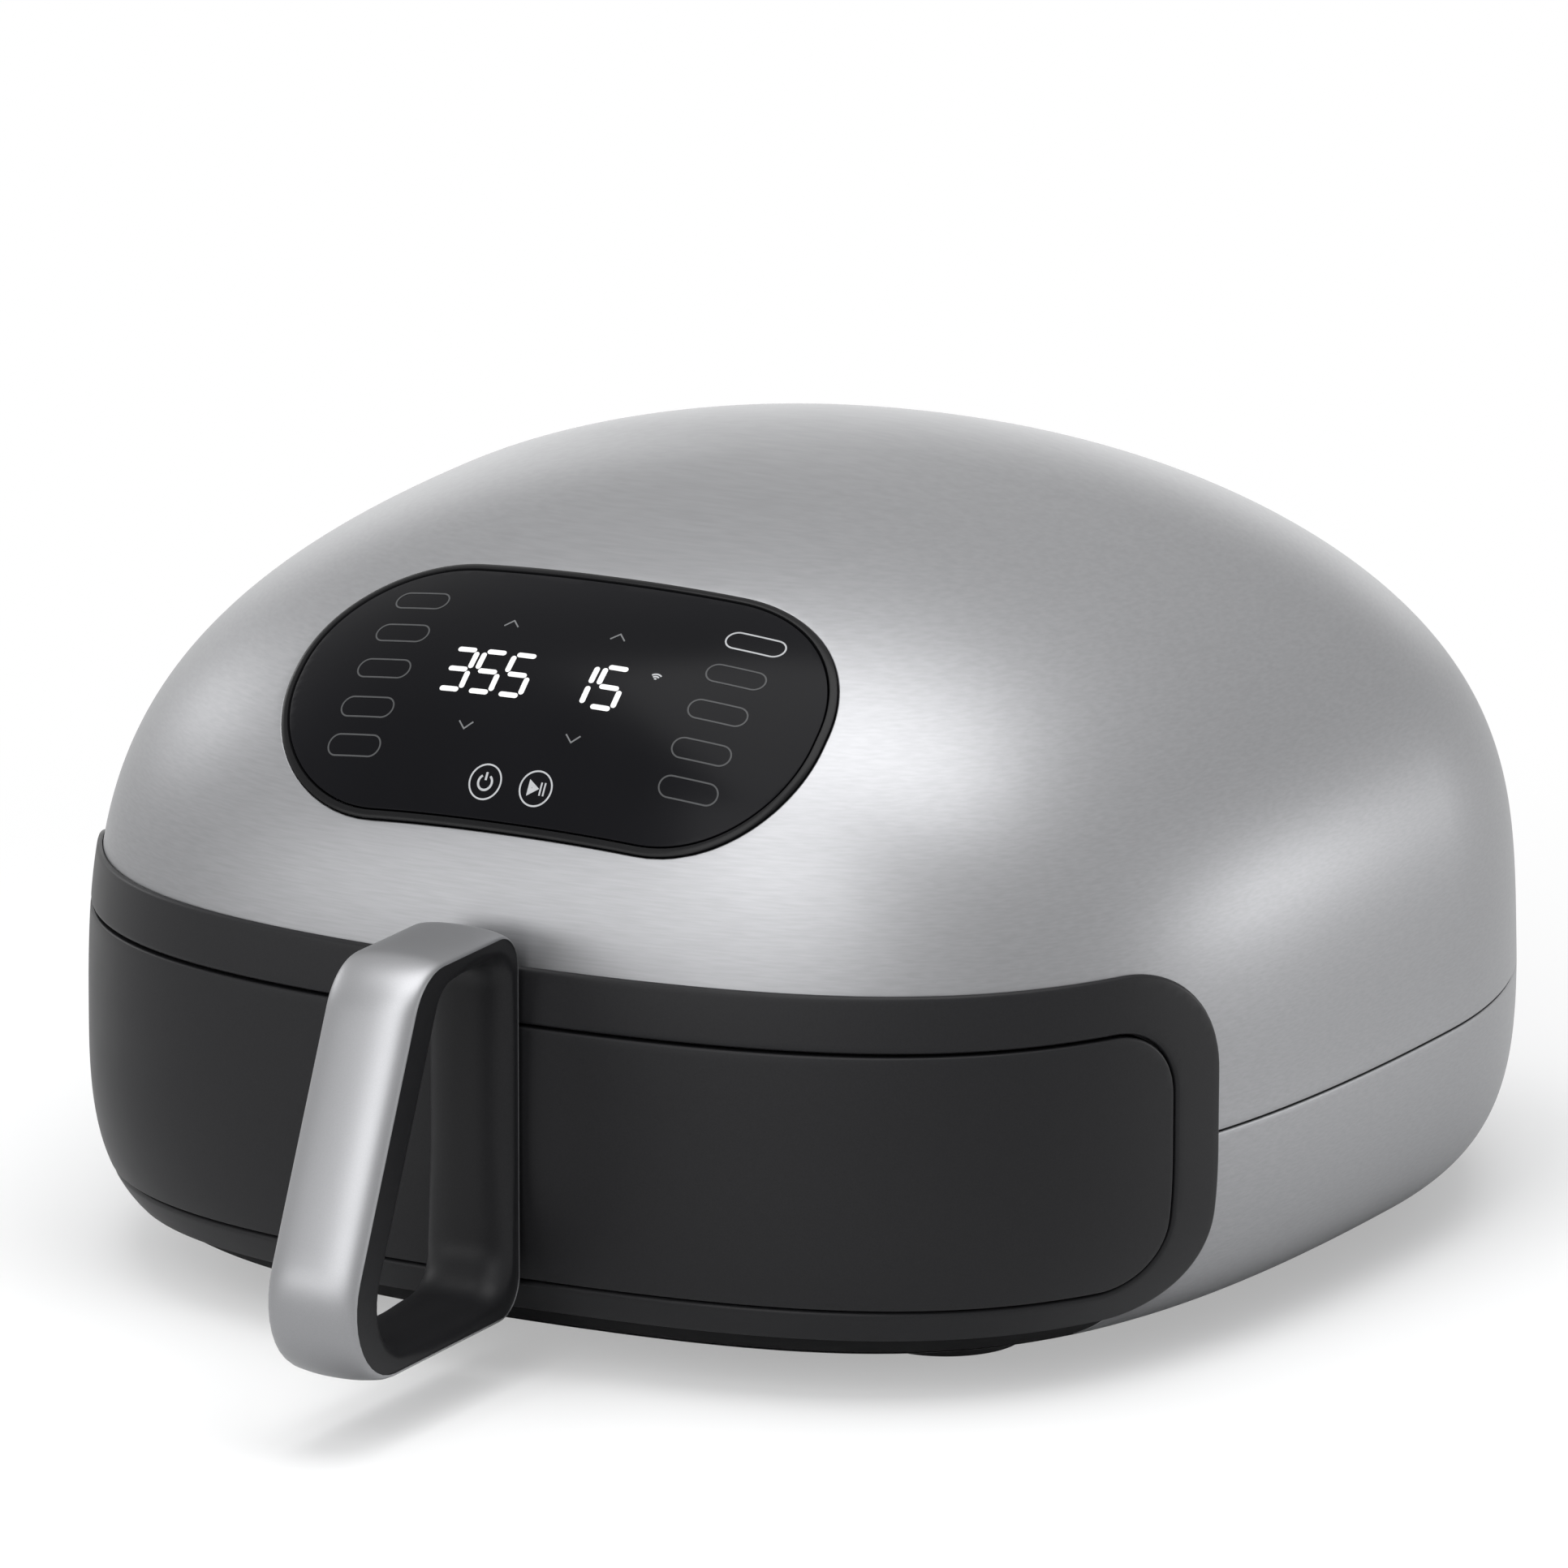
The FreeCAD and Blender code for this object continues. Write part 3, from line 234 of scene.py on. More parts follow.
    def normals(self, around: Array, up: Array, grow: float, step: float = 1e-4) -> Array:
        """Find outward normals of the form.

        Args:
            around: Turn about the body, as in points().
            up: Height, as in points().
            grow: Distance by which the form is grown outwards.
            step: Step of the parameters over which slopes are taken.

        Returns:
            Unit normals, in the last axis.
        """
        along = self.points(around + step, up, grow) - self.points(around - step, up, grow)
        rise = self.points(around, np.minimum(up + step, 1), grow) - self.points(
            around, np.maximum(up - step, -1), grow)
        normal = np.cross(along, rise)
        length = np.linalg.norm(normal, axis=-1, keepdims=True)
        return np.where(length < TINY, (0.0, 0.0, 1.0), normal / np.maximum(length, TINY))


FORM = BodyForm()


@dataclass(frozen=True)
class SideOutline:
    """A side-view outline that is open to the front, with two rounded rear corners."""

    rear: float
    top: float
    bottom: float
    top_radius: float
    bottom_radius: float

    def distance(self, points: Array, grow: float = 0.0) -> Array:
        """Measure how far points lie outside the outline.

        Args:
            points: Points in millimetres.
            grow: Distance by which the outline is grown.

        Returns:
            Signed distances in the side view, negative inside.
        """
        y, z = points[..., 1], points[..., 2]
        rear, top, bottom = self.rear + grow, self.top + grow, self.bottom - grow
        found = np.maximum(np.maximum(y - rear, z - top), bottom - z)
        for radius, past_edge in ((self.top_radius + grow, z - top), (self.bottom_radius + grow, bottom - z)):
            along, beyond = y - rear + radius, past_edge + radius
            corner = (along > 0) & (beyond > 0)
            found = np.where(corner, np.hypot(along, beyond) - radius, found)
        return found


def rounded_distance(x: Array, y: Array, half: Pair, radius: float) -> Array:
    """Measure how far plane points lie outside a rounded rectangle.

    Args:
        x: Places across, from the rectangle's middle.
        y: Places up, from the rectangle's middle.
        half: Half the width and half the height.
        radius: Radius of the corners.

    Returns:
        Signed distances, negative inside.
    """
    past_x, past_y = np.abs(x) - half[0] + radius, np.abs(y) - half[1] + radius
    outer = np.hypot(np.maximum(past_x, 0), np.maximum(past_y, 0))
    return outer + np.minimum(np.maximum(past_x, past_y), 0) - radius


@dataclass(frozen=True)
class PanelPlane:
    """The sloping plane that carries the touch panel's outline."""

    centre: Triple = (0.0, FORM.front + 41.5, 181.0)
    tilt: float = math.radians(42.3)
    half_width: float = 82.5
    half_height: float = 43.0
    radius: float = 41.5
    line_steps: int = 30
    arc_steps: int = 28

    @property
    def up_axis(self) -> Array:
        """Direction up the slope."""
        return np.array((0.0, math.cos(self.tilt), math.sin(self.tilt)))

    @property
    def normal(self) -> Array:
        """Direction out of the slope."""
        return np.array((0.0, -math.sin(self.tilt), math.cos(self.tilt)))

    def distance(self, points: Array, grow: float = 0.0) -> Array:
        """Measure how far points lie outside the panel, seen square to the slope.

        Args:
            points: Points in millimetres.
            grow: Distance by which the outline is grown.

        Returns:
            Signed distances, negative inside.
        """
        offset = points - np.array(self.centre)
        found = rounded_distance(offset[..., 0], offset @ self.up_axis,
                                 (self.half_width + grow, self.half_height + grow), self.radius + grow)
        return np.where(np.abs(offset @ self.normal) < self.half_height, found, self.half_width)

    def loop(self, grow: float) -> Array:
        """Sample the panel's outline in its own plane, grown all round."""
        half = (self.half_width + grow, self.half_height + grow)
        return rectangle_loop(half, self.radius + grow, self.line_steps, self.arc_steps)

    def place(self, flat: Array) -> Array:
        """Put plane points of the panel into the body's frame."""
        return np.array(self.centre) + flat[:, :1] * np.array((1.0, 0.0, 0.0)) + flat[:, 1:] * self.up_axis

    def matrix(self) -> Matrix:
        """Turn the panel's plane into the body's frame, in metres."""
        return Matrix.Translation(Vector(self.centre) * MM) @ Matrix.Rotation(self.tilt, 4, "X")


@dataclass(frozen=True)
class RearOutline:
    """A rounded rectangle seen from behind, on the rear of the body only."""

    half_width: float
    bottom: float
    top: float
    radius: float

    def distance(self, points: Array, grow: float = 0.0) -> Array:
        """Measure how far points lie outside the outline.

        Args:
            points: Points in millimetres.
            grow: Distance by which the outline is grown.

        Returns:
            Signed distances seen from behind, negative inside.
        """
        middle = (self.bottom + self.top) / 2
        half = (self.half_width + grow, (self.top - self.bottom) / 2 + grow)
        found = rounded_distance(points[..., 0], points[..., 2] - middle, half, self.radius + grow)
        return np.where(points[..., 1] > 0, found, self.top)


SURROUND = SideOutline(rear=FORM.front + 101.5, top=117.5, bottom=17, top_radius=32, bottom_radius=28)
SKIRT = SideOutline(rear=FORM.front + 79, top=67.25, bottom=10.25, top_radius=9, bottom_radius=3.5)
DRAWER = SideOutline(rear=FORM.front + 83.5, top=101, bottom=28, top_radius=18.5, bottom_radius=18.5)
PANEL = PanelPlane()
VENT = RearOutline(half_width=56, bottom=88, top=132, radius=10)
GLAND = RearOutline(half_width=8, bottom=32, top=48, radius=8)
Cut = tuple[SideOutline | PanelPlane | RearOutline, float]


def area(edge: float, inside: Sequence[Cut] = (), outside: Sequence[Cut] = (), low: float = -math.inf,
         high: float = math.inf) -> Keep:
    """Describe an area of the body form.

    Args:
        edge: Radius of the area's edges, by which it is cut back.
        inside: Outlines that it stays inside, each with its growth.
        outside: Outlines that it stays outside, each with its growth.
        low: Height that it stays above.
        high: Height that it stays below.

    Returns:
        A function that measures how far points lie outside the area, negative inside.
    """
    def distance(points: Array) -> Array:
        """Measure points against every limit of the area.

        Args:
            points: Points in millimetres.

        Returns:
            Signed distances, negative inside.
        """
        limits = [low - points[..., 2], points[..., 2] - high]
        limits += [outline.distance(points, grow) for outline, grow in inside]
        limits += [-outline.distance(points, grow) for outline, grow in outside]
        return np.max(limits, axis=0) + edge

    return distance


# Meshes


def add_mesh(name: str, points: Array, faces: Iterable[Face], sharp: float = 40.0) -> Piece:
    """Make a smooth-shaded mesh object from points in millimetres.

    Args:
        name: Name of the piece.
        points: Corner points.
        faces: Faces as corner indices, anticlockwise seen from outside.
        sharp: Angle in degrees from which an edge stays sharp.

    Returns:
        The new object, linked to the scene.
    """
    mesh = bpy.data.meshes.new(name)
    mesh.from_pydata((np.asarray(points) * MM).tolist(), [], [list(face) for face in faces])
    mesh.validate()
    mesh.shade_smooth()
    mesh.set_sharp_from_angle(angle=math.radians(sharp))
    piece = bpy.data.objects.new(name, mesh)
    bpy.context.scene.collection.objects.link(piece)
    return piece


def strips(first: Sequence[int], second: Sequence[int]) -> list[Face]:
    """Join two closed rows of corners by a strip of quads."""
    count = len(first)
    return [(first[i], second[i], second[(i + 1) % count], first[(i + 1) % count]) for i in range(count)]


def enclosed(points: Array, faces: Sequence[Face]) -> float:
    """Measure the volume that faces enclose.

    Args:
        points: Corner points.
        faces: Faces as corner indices.

    Returns:
        The volume, negative where the faces look inwards.
    """
    fans = np.array([(face[0], face[i], face[i + 1]) for face in faces for i in range(1, len(face) - 1)])
    one, two, three = (points[fans[:, i]] for i in range(3))
    return float(np.sum(one * np.cross(two, three))) / 6


def loft_faces(rings: Sequence[Array], closed: bool) -> list[Face]:
    """Skin a row of closed rings.

    Args:
        rings: Rings with equal numbers of points.
        closed: Whether the last ring joins the first; otherwise both ends are capped.

    Returns:
        Faces that look outwards.
    """
    count = len(rings[0])
    rows = [list(range(i * count, (i + 1) * count)) for i in range(len(rings))]
    faces = [face for low, high in zip(rows, rows[1:]) for face in strips(low, high)]
    faces += strips(rows[-1], rows[0]) if closed else [tuple(rows[0]), tuple(reversed(rows[-1]))]
    points = np.concatenate(rings)
    return faces if enclosed(points - points.mean(0), faces) > 0 else [face[::-1] for face in faces]


def loft(name: str, rings: Sequence[Array], closed: bool = False) -> Piece:
    """Make a piece by skinning a row of closed rings, as loft_faces() does."""
    return add_mesh(name, np.concatenate(rings), loft_faces(rings, closed))


def turned_ring(radius: float, height: float, steps: int) -> Array:
    """Sample a level circle about the upright axis."""
    angles = np.linspace(0, 2 * math.pi, steps, endpoint=False)
    return np.stack([radius * np.cos(angles), radius * np.sin(angles), np.full(steps, height)], -1)


def rounded_loop(corners: Sequence[Triple], line_steps: int, arc_steps: int) -> Array:
    """Sample a closed outline of straight runs and arcs.

    Args:
        corners: Corner points in order, each with its radius.
        line_steps: Points on each straight run.
        arc_steps: Steps on each arc.

    Returns:
        Points in the plane, in the same order as the corners.
    """
    flat = [np.array(corner[:2]) for corner in corners]
    arcs = []
    for i, (here, corner) in enumerate(zip(flat, corners)):
        before, after = flat[i - 1] - here, flat[(i + 1) % len(flat)] - here
        before, after = before / np.linalg.norm(before), after / np.linalg.norm(after)
        half_angle = math.acos(float(np.clip(before @ after, -1, 1))) / 2
        bisector = (before + after) / np.linalg.norm(before + after)
        centre = here + bisector * corner[2] / math.sin(half_angle)
        start = here + before * corner[2] / math.tan(half_angle) - centre
        turn = math.pi - 2 * half_angle
        turn = turn if before[0] * after[1] - before[1] * after[0] < 0 else -turn
        angles = np.linspace(0, turn, arc_steps + 1)
        arcs.append(np.stack([centre[0] + start[0] * np.cos(angles) - start[1] * np.sin(angles),
                              centre[1] + start[0] * np.sin(angles) + start[1] * np.cos(angles)], -1))
    found = []
    for i, arc in enumerate(arcs):
        following = arcs[(i + 1) % len(arcs)][0]
        run = arc[-1] + np.linspace(0, 1, line_steps + 2)[1:-1, None] * (following - arc[-1])
        found += [arc, run]
    return np.concatenate(found)


def rectangle_loop(half: Pair, radius: float, line_steps: int, arc_steps: int) -> Array:
    """Sample a rounded rectangle about the plane's origin, as rounded_loop() does."""
    signs = ((-1, -1), (1, -1), (1, 1), (-1, 1))
    return rounded_loop([(x * half[0], y * half[1], radius) for x, y in signs], line_steps, arc_steps)


class FormCaster:
    """Finds points of the body form along straight lines."""

    def __init__(self, turns: int = 720, levels: int = 400) -> None:
        """Lay a fine net over the form.

        Args:
            turns: Cells round the form.
            levels: Rows from the base to the crown.
        """
        around, up = np.meshgrid(np.linspace(0, 4, turns + 1), np.linspace(-1, 1, levels))
        index = np.arange(around.size).reshape(around.shape)
        cells = np.stack([index[:-1, :-1], index[:-1, 1:], index[1:, 1:], index[1:, :-1]], -1).reshape(-1, 4)
        self.tree = BVHTree.FromPolygons(FORM.points(around, up, 0.0).reshape(-1, 3).tolist(), cells.tolist())

    def drop(self, points: Array, normal: Array, reach: float = 60.0) -> tuple[Array, Array]:
        """Drop points onto the form.

        Args:
            points: Points near the form.
            normal: Direction out of the form, against which they drop.
            reach: Height from which they drop.

        Returns:
            The points on the form and the form's normals there.
        """
        hits = [self.tree.ray_cast(Vector(point + normal * reach), Vector(-normal)) for point in points]
        return np.array([hit[0] for hit in hits]), np.array([hit[1] for hit in hits])

    def front_at(self, level: float) -> float:
        """Find how far the form's front reaches at a height."""
        return self.tree.ray_cast(Vector((0.0, -2 * FORM.depth, level)), Vector((0.0, 1.0, 0.0)))[0].y

    def half_widths(self, side: Array) -> Array:
        """Find the form's half width at points of the side view."""
        out = Vector((1.0, 0.0, 0.0))
        return np.array([self.tree.ray_cast(Vector((0.0, y, z)), out)[0].x for y, z in side])


# Thin pieces cut from the body form


@dataclass(frozen=True)
class Grid:
    """A net of parameters over the body form, as first, last and count in each direction."""

    around: tuple[float, float, int]
    up: tuple[float, float, int]
    closed: bool = False

    def columns(self) -> Array:
        """List the turns of the columns; on a closed net the last one isn't repeated."""
        return np.linspace(*self.around, endpoint=not self.closed)

    def rows(self) -> Array:
        """List the heights of the rows."""
        return np.linspace(*self.up)


@dataclass
class Sheet:
    """A cut area of the body form."""

    points: Array
    normals: Array
    faces: list[Face]
    rims: list[list[int]]


def find_rims(faces: Sequence[Face]) -> list[list[int]]:
    """Follow the open edges of some faces.

    Args:
        faces: Faces as corner indices.

    Returns:
        Closed rows of corners.
    """
    edges = {(a, b) for face in faces for a, b in zip(face, face[1:] + face[:1])}
    following = {a: b for a, b in edges if (b, a) not in edges}
    rims = []
    while following:
        start, here = following.popitem()
        rim = [start]
        while here != start:
            rim.append(here)
            here = following.pop(here)
        rims.append(rim)
    return rims


class Cutter:
    """Cuts an area out of the body form along signed outlines."""

    snap_share = 0.3
    halvings = 26
    same_place_digits = 5

    def __init__(self, grid: Grid, grow: float, keep: Keep) -> None:
        """Lay a grid of parameters over the form.

        Args:
            grid: The net that is cut.
            grow: Distance by which the form is grown.
            keep: Signed distance, negative where the form is kept.
        """
        self.grow = grow
        self.keep = keep
        around, up = grid.columns(), grid.rows()
        index = np.arange(len(up) * len(around)).reshape(len(up), len(around))
        wrapped = np.hstack([index, index[:, :1]]) if grid.closed else index
        self.cells = np.stack([wrapped[:-1, :-1], wrapped[:-1, 1:], wrapped[1:, 1:], wrapped[1:, :-1]], -1)
        self.edges = np.concatenate([
            np.stack([wrapped[:, :-1], wrapped[:, 1:]], -1).reshape(-1, 2),
            np.stack([index[:-1], index[1:]], -1).reshape(-1, 2)])
        columns, rows = np.meshgrid(around, up)
        self.places = np.stack([columns.ravel(), rows.ravel()], -1)
        self.level = self.measure(self.places)

    def measure(self, places: Array) -> Array:
        """Measure the signed distance at parameters."""
        return self.keep(FORM.points(places[:, 0], places[:, 1], self.grow))

    def crossings(self) -> tuple[Array, Array, Array]:
        """Find where grid edges cross the outline.

        Returns:
            The crossed edges, the share of each edge before its crossing, and the crossings' parameters.
        """
        first, second = self.level[self.edges[:, 0]], self.level[self.edges[:, 1]]
        edges = self.edges[first * second < 0]
        start = self.places[edges[:, 0]]
        step = self.places[edges[:, 1]] - start
        step[:, 0] = (step[:, 0] + 2) % 4 - 2
        low, high = np.zeros(len(edges)), np.ones(len(edges))
        sign = np.sign(self.level[edges[:, 0]])
        for _ in range(self.halvings):
            middle = (low + high) / 2
            same = np.sign(self.measure(start + middle[:, None] * step)) == sign
            low, high = np.where(same, middle, low), np.where(same, high, middle)
        share = (low + high) / 2
        return edges, share, start + share[:, None] * step

    def snap(self) -> None:
        """Move grid points that lie close to the outline onto it."""
        edges, share, places = self.crossings()
        for end, close in ((0, share < self.snap_share), (1, share > 1 - self.snap_share)):
            moved = edges[close, end]
            self.places[moved] = places[close]
            self.level[moved] = 0.0

    def sheet(self) -> Sheet:
        """Cut the grid along the outline.

        Returns:
            The kept area, with its rims.
        """
        self.snap()
        edges, _, places = self.crossings()
        joints = {tuple(sorted(edge)): len(self.places) + i for i, edge in enumerate(edges.tolist())}
        cells = self.cells.reshape(-1, 4)
        level = self.level[cells]
        some = (level < 0).any(1)
        faces = [tuple(cell) for cell in cells[some & (level <= 0).all(1)].tolist()]
        for cell in cells[some & (level > 0).any(1)].tolist():
            outline = []
            for here, there in zip(cell, cell[1:] + cell[:1]):
                if self.level[here] <= 0:
                    outline.append(here)
                if self.level[here] * self.level[there] < 0:
                    outline.append(joints[tuple(sorted((here, there)))])
            if len(outline) > 2:
                faces.append(tuple(outline))
        return self.compact(np.concatenate([self.places, places]), faces)

    def compact(self, places: Array, faces: list[Face]) -> Sheet:
        """Keep only the corners in use, with one corner where several share a place.

        Args:
            places: Parameters of all corners.
            faces: Faces as indices of these.

        Returns:
            The area with its points, normals and rims.
        """
        points = FORM.points(places[:, 0], places[:, 1], self.grow)
        normals = FORM.normals(places[:, 0], places[:, 1], self.grow)
        used = sorted({corner for face in faces for corner in face})
        near = np.round(points[used], self.same_place_digits)
        _, first, group = np.unique(near, axis=0, return_index=True, return_inverse=True)
        number = dict(zip(used, group.ravel().tolist()))
        kept = []
        for face in faces:
            corners = [number[corner] for corner in face]
            corners = [c for i, c in enumerate(corners) if c != corners[i - 1]]
            if len(corners) > 2:
                kept.append(tuple(corners))
        chosen = np.array(used)[first]
        return Sheet(points[chosen], normals[chosen], kept, find_rims(kept))

    def skin(self, name: str, wall: float, edge: float) -> Piece:
        """Cut the area and give it a wall, as thick_skin() does."""
        return thick_skin(name, self.sheet(), wall, edge)


def thick_skin(name: str, sheet: Sheet, wall: float, edge: float, steps: int = 5) -> Piece:
    """Give a cut area its wall and rounded edges.

    Args:
        name: Name of the piece.
        sheet: The outer face, cut back from its outline by the edge radius.
        wall: Thickness of the wall.
        edge: Radius of the outer edges.
        steps: Steps round an edge.

    Returns:
        A closed mesh object.
    """
    count = len(sheet.points)
    points = [sheet.points, sheet.points - sheet.normals * wall]
    faces = sheet.faces + [tuple(corner + count for corner in reversed(face)) for face in sheet.faces]
    angles = np.linspace(0, math.pi / 2, steps + 1)[1:]
    turns = [(math.sin(a) * edge, (1 - math.cos(a)) * edge) for a in angles]
    total = 2 * count
    for rim in sheet.rims:
        here, normal = sheet.points[rim], sheet.normals[rim]
        along = np.roll(here, -1, 0) - np.roll(here, 1, 0)
        outward = np.cross(along, normal)
        outward /= np.maximum(np.linalg.norm(outward, axis=1, keepdims=True), TINY)
        row = rim
        for out, down in turns + [(edge, wall)]:
            following = list(range(total, total + len(rim)))
            points.append(here + outward * out - normal * down)
            faces += [(row[i - 1], row[i], following[i], following[i - 1])[::-1] for i in range(len(rim))]
            row = following
            total += len(rim)
        inner = [corner + count for corner in rim]
        faces += [(row[i - 1], row[i], inner[i], inner[i - 1])[::-1] for i in range(len(rim))]
    return add_mesh(name, np.concatenate(points), faces)


# Node trees and finishes


class NodeSheet:
    """A node tree, with short ways to add and join nodes."""

    def __init__(self, tree: bpy.types.NodeTree) -> None:
        """Take a tree over."""
        self.tree = tree

    def feed(self, socket: Socket, source: object) -> None:
        """Join an input to another node's output, or set it to a constant.

        Args:
            socket: The input.
            source: The output or the constant.
        """
        if isinstance(source, Socket):
            self.tree.links.new(source, socket)
        else:
            socket.default_value = source

    def node(self, kind: str, sockets: dict[str | int, object],
             **settings: object) -> bpy.types.bpy_prop_collection:
        """Add a node.

        Args:
            kind: Type of the node.
            sockets: What goes into each input: another node's output or a constant.
            settings: Properties of the node.

        Returns:
            The node's outputs.
        """
        found = self.tree.nodes.new(kind)
        for name, setting in settings.items():
            setattr(found, name, setting)
        for key, source in sockets.items():
            self.feed(found.inputs[key], source)
        return found.outputs

    def any_ray(self, *kinds: str) -> Socket:
        """Pick out some kinds of rays.

        Args:
            kinds: Outputs of Light Path.

        Returns:
            A socket that is 1 for rays of any of these kinds.
        """
        path = self.node("ShaderNodeLightPath", {})
        found = path[kinds[0]]
        for kind in kinds[1:]:
            found = self.node("ShaderNodeMath", {0: found, 1: path[kind]}, operation="MAXIMUM")["Value"]
        return found


class ShaderSheet(NodeSheet):
    """One material's node tree, with its principled shader and noise on object coordinates."""

    noise_range = (0.3, 0.7)

    def __init__(self, name: str) -> None:
        """Start a material.

        Args:
            name: Name of the material.
        """
        self.material = bpy.data.materials.new(name)
        self.material.use_nodes = True
        super().__init__(self.material.node_tree)
        self.shader = self.tree.nodes["Principled BSDF"]
        self.place = self.node("ShaderNodeTexCoord", {})["Object"]

    def set(self, **values: object) -> None:
        """Feed the shader's inputs, named with underscores for spaces."""
        for name, source in values.items():
            self.feed(self.shader.inputs[name.replace("_", " ")], source)

    def noise(self, size: float, detail: float, stretch: Triple = (1, 1, 1)) -> Socket:
        """Add noise with features of about a size in millimetres.

        Args:
            size: Size of the features.
            detail: Octaves of finer noise.
            stretch: Factors by which the pattern is drawn out along each axis.

        Returns:
            The noise's value socket.
        """
        shrink = tuple(1 / factor for factor in stretch)
        place = self.node("ShaderNodeMapping", {"Vector": self.place, "Scale": shrink})["Vector"]
        return self.node("ShaderNodeTexNoise",
                         {"Vector": place, "Scale": 1 / (size * MM), "Detail": detail})["Fac"]

    def blend(self, factor: Socket, low: Triple, high: Triple) -> Socket:
        """Mix two colours by the middle range of a noise.

        Args:
            factor: The noise.
            low: Colour where it is low.
            high: Colour where it is high.

        Returns:
            The colour socket.
        """
        ramp = self.tree.nodes.new("ShaderNodeValToRGB")
        for element, colour, position in zip(ramp.color_ramp.elements, (low, high), self.noise_range):
            element.color = (*colour, 1)
            element.position = position
        self.feed(ramp.inputs["Fac"], factor)
        return ramp.outputs["Color"]

    def spread(self, factor: Socket, low: float, high: float) -> Socket:
        """Map the middle range of a noise to two values.

        Args:
            factor: The noise.
            low: Value where it is low.
            high: Value where it is high.

        Returns:
            The value socket.
        """
        start, end = self.noise_range
        return self.node("ShaderNodeMapRange", {"Value": factor, "From Min": start, "From Max": end,
                                                "To Min": low, "To Max": high})["Result"]

    def bump(self, height: Socket, depth: float) -> Socket:
        """Raise the surface by a socket, to a depth in millimetres, and return the normal."""
        return self.node("ShaderNodeBump", {"Distance": depth * MM, "Height": height})["Normal"]


@dataclass(frozen=True)
class Finish:
    """A surface finish: colour, sheen and grain."""

    name: str
    slot: Slot
    colour: Triple
    roughness: float
    metallic: float = 0.0
    mottle: float = 0.08
    mottle_size: float = 0.5
    haze: float = 0.05
    haze_size: float = 40.0
    grain_size: float = 0.4
    grain_depth: float = 0.01
    stretch: Triple = (1, 1, 1)
    specular: float = 0.5

    def material(self) -> bpy.types.Material:
        """Build the node material.

        Returns:
            A material with mottled colour, uneven gloss and a fine grain.
        """
        sheet = ShaderSheet(self.name)
        low, high = (tuple(c * (1 + sign * self.mottle) for c in self.colour) for sign in (-1, 1))
        patches = sheet.noise(self.mottle_size, detail=2, stretch=self.stretch)
        haze = sheet.noise(self.haze_size, detail=4, stretch=self.stretch)
        grain = sheet.noise(self.grain_size, detail=3, stretch=self.stretch)
        sheet.set(Metallic=self.metallic, Specular_IOR_Level=self.specular,
                  Base_Color=sheet.blend(patches, low, high),
                  Roughness=sheet.spread(haze, self.roughness - self.haze, self.roughness + self.haze),
                  Normal=sheet.bump(grain, self.grain_depth))
        return sheet.material


@dataclass(frozen=True)
class LitInk:
    """Ink or a light behind the panel's glass."""

    name: str
    glow: float
    colour: Triple = (0.95, 0.97, 1.0)
    slot: Slot | None = None
    unlit_share: float = 0.02
    dimming: float = 0.86
    patch_size: float = 2.5
    roughness: float = 0.3
    specular: float = 0.1

    def material(self) -> bpy.types.Material:
        """Build the node material.

        Returns:
            A material that glows unevenly, as a lamp behind a mask does.
        """
        sheet = ShaderSheet(self.name)
        dim = tuple(c * self.dimming for c in self.colour)
        sheet.set(Roughness=self.roughness, Specular_IOR_Level=self.specular, Emission_Strength=self.glow,
                  Base_Color=(*(c * self.unlit_share for c in self.colour), 1),
                  Emission_Color=sheet.blend(sheet.noise(self.patch_size, detail=1), dim, self.colour))
        return sheet.material


SILVER = Finish("satin_silver_paint", Slot.SHELL, (0.258, 0.26, 0.268), 0.46, metallic=1.0, mottle=0.045,
                mottle_size=0.6, haze=0.02, grain_size=0.5, grain_depth=0.002, stretch=(20, 5, 1))
BAND_SILVER = Finish("satin_band_metal", Slot.BAND, (0.255, 0.257, 0.265), 0.44, metallic=1.0, mottle=0.03,
                     mottle_size=0.3, haze=0.02, grain_depth=0.002)
TRIM_BLACK = Finish("satin_black_trim", Slot.TRIM, (0.01, 0.01, 0.011), 0.44, mottle=0.12, haze=0.03,
                    grain_size=0.45, grain_depth=0.008, specular=0.16)
# The skirt is the same black plastic as the trim; its darker colour and lower gloss are painted shade for the
# underside below the surround.
SKIRT_BLACK_PAINTED_SHADE = Finish("skirt_black_painted_shade", Slot.TRIM, (0.006, 0.006, 0.0065), 0.6, grain_size=0.6,
                     grain_depth=0.015, specular=0.06)
BASE_BLACK = Finish("moulded_base_black", Slot.BASE, (0.016, 0.016, 0.018), 0.55, grain_size=0.7,
                    grain_depth=0.03)
BEZEL_BLACK = Finish("gloss_bezel_black", Slot.BEZEL, (0.005, 0.005, 0.0055), 0.26, mottle=0.1, haze=0.03,
                     grain_depth=0.002, specular=0.12)
PANEL_BLACK = Finish("polished_panel_glass", Slot.GLASS, (0.004, 0.004, 0.005), 0.22, mottle=0.15,
                     mottle_size=60, haze=0.02, grain_size=30, grain_depth=0.002, specular=0.06)
RUBBER = Finish("soft_rubber", Slot.RUBBER, (0.022, 0.022, 0.023), 0.8, grain_size=0.3, grain_depth=0.03)
STEEL = Finish("rolled_chamber_steel", Slot.STEEL, (0.42, 0.42, 0.412), 0.55, metallic=1.0, mottle_size=0.6,
               haze=0.06, grain_size=0.5, grain_depth=0.006, stretch=(1, 14, 1))
COAT = Finish("speckled_nonstick", Slot.COAT, (0.028, 0.028, 0.030), 0.46, mottle=0.45, mottle_size=0.7,
              haze=0.06, grain_size=0.8, grain_depth=0.02)
HEATER = Finish("heat_darkened_tube", Slot.HEATER, (0.16, 0.15, 0.145), 0.45, metallic=1.0, mottle=0.2,
                mottle_size=12, haze=0.1)
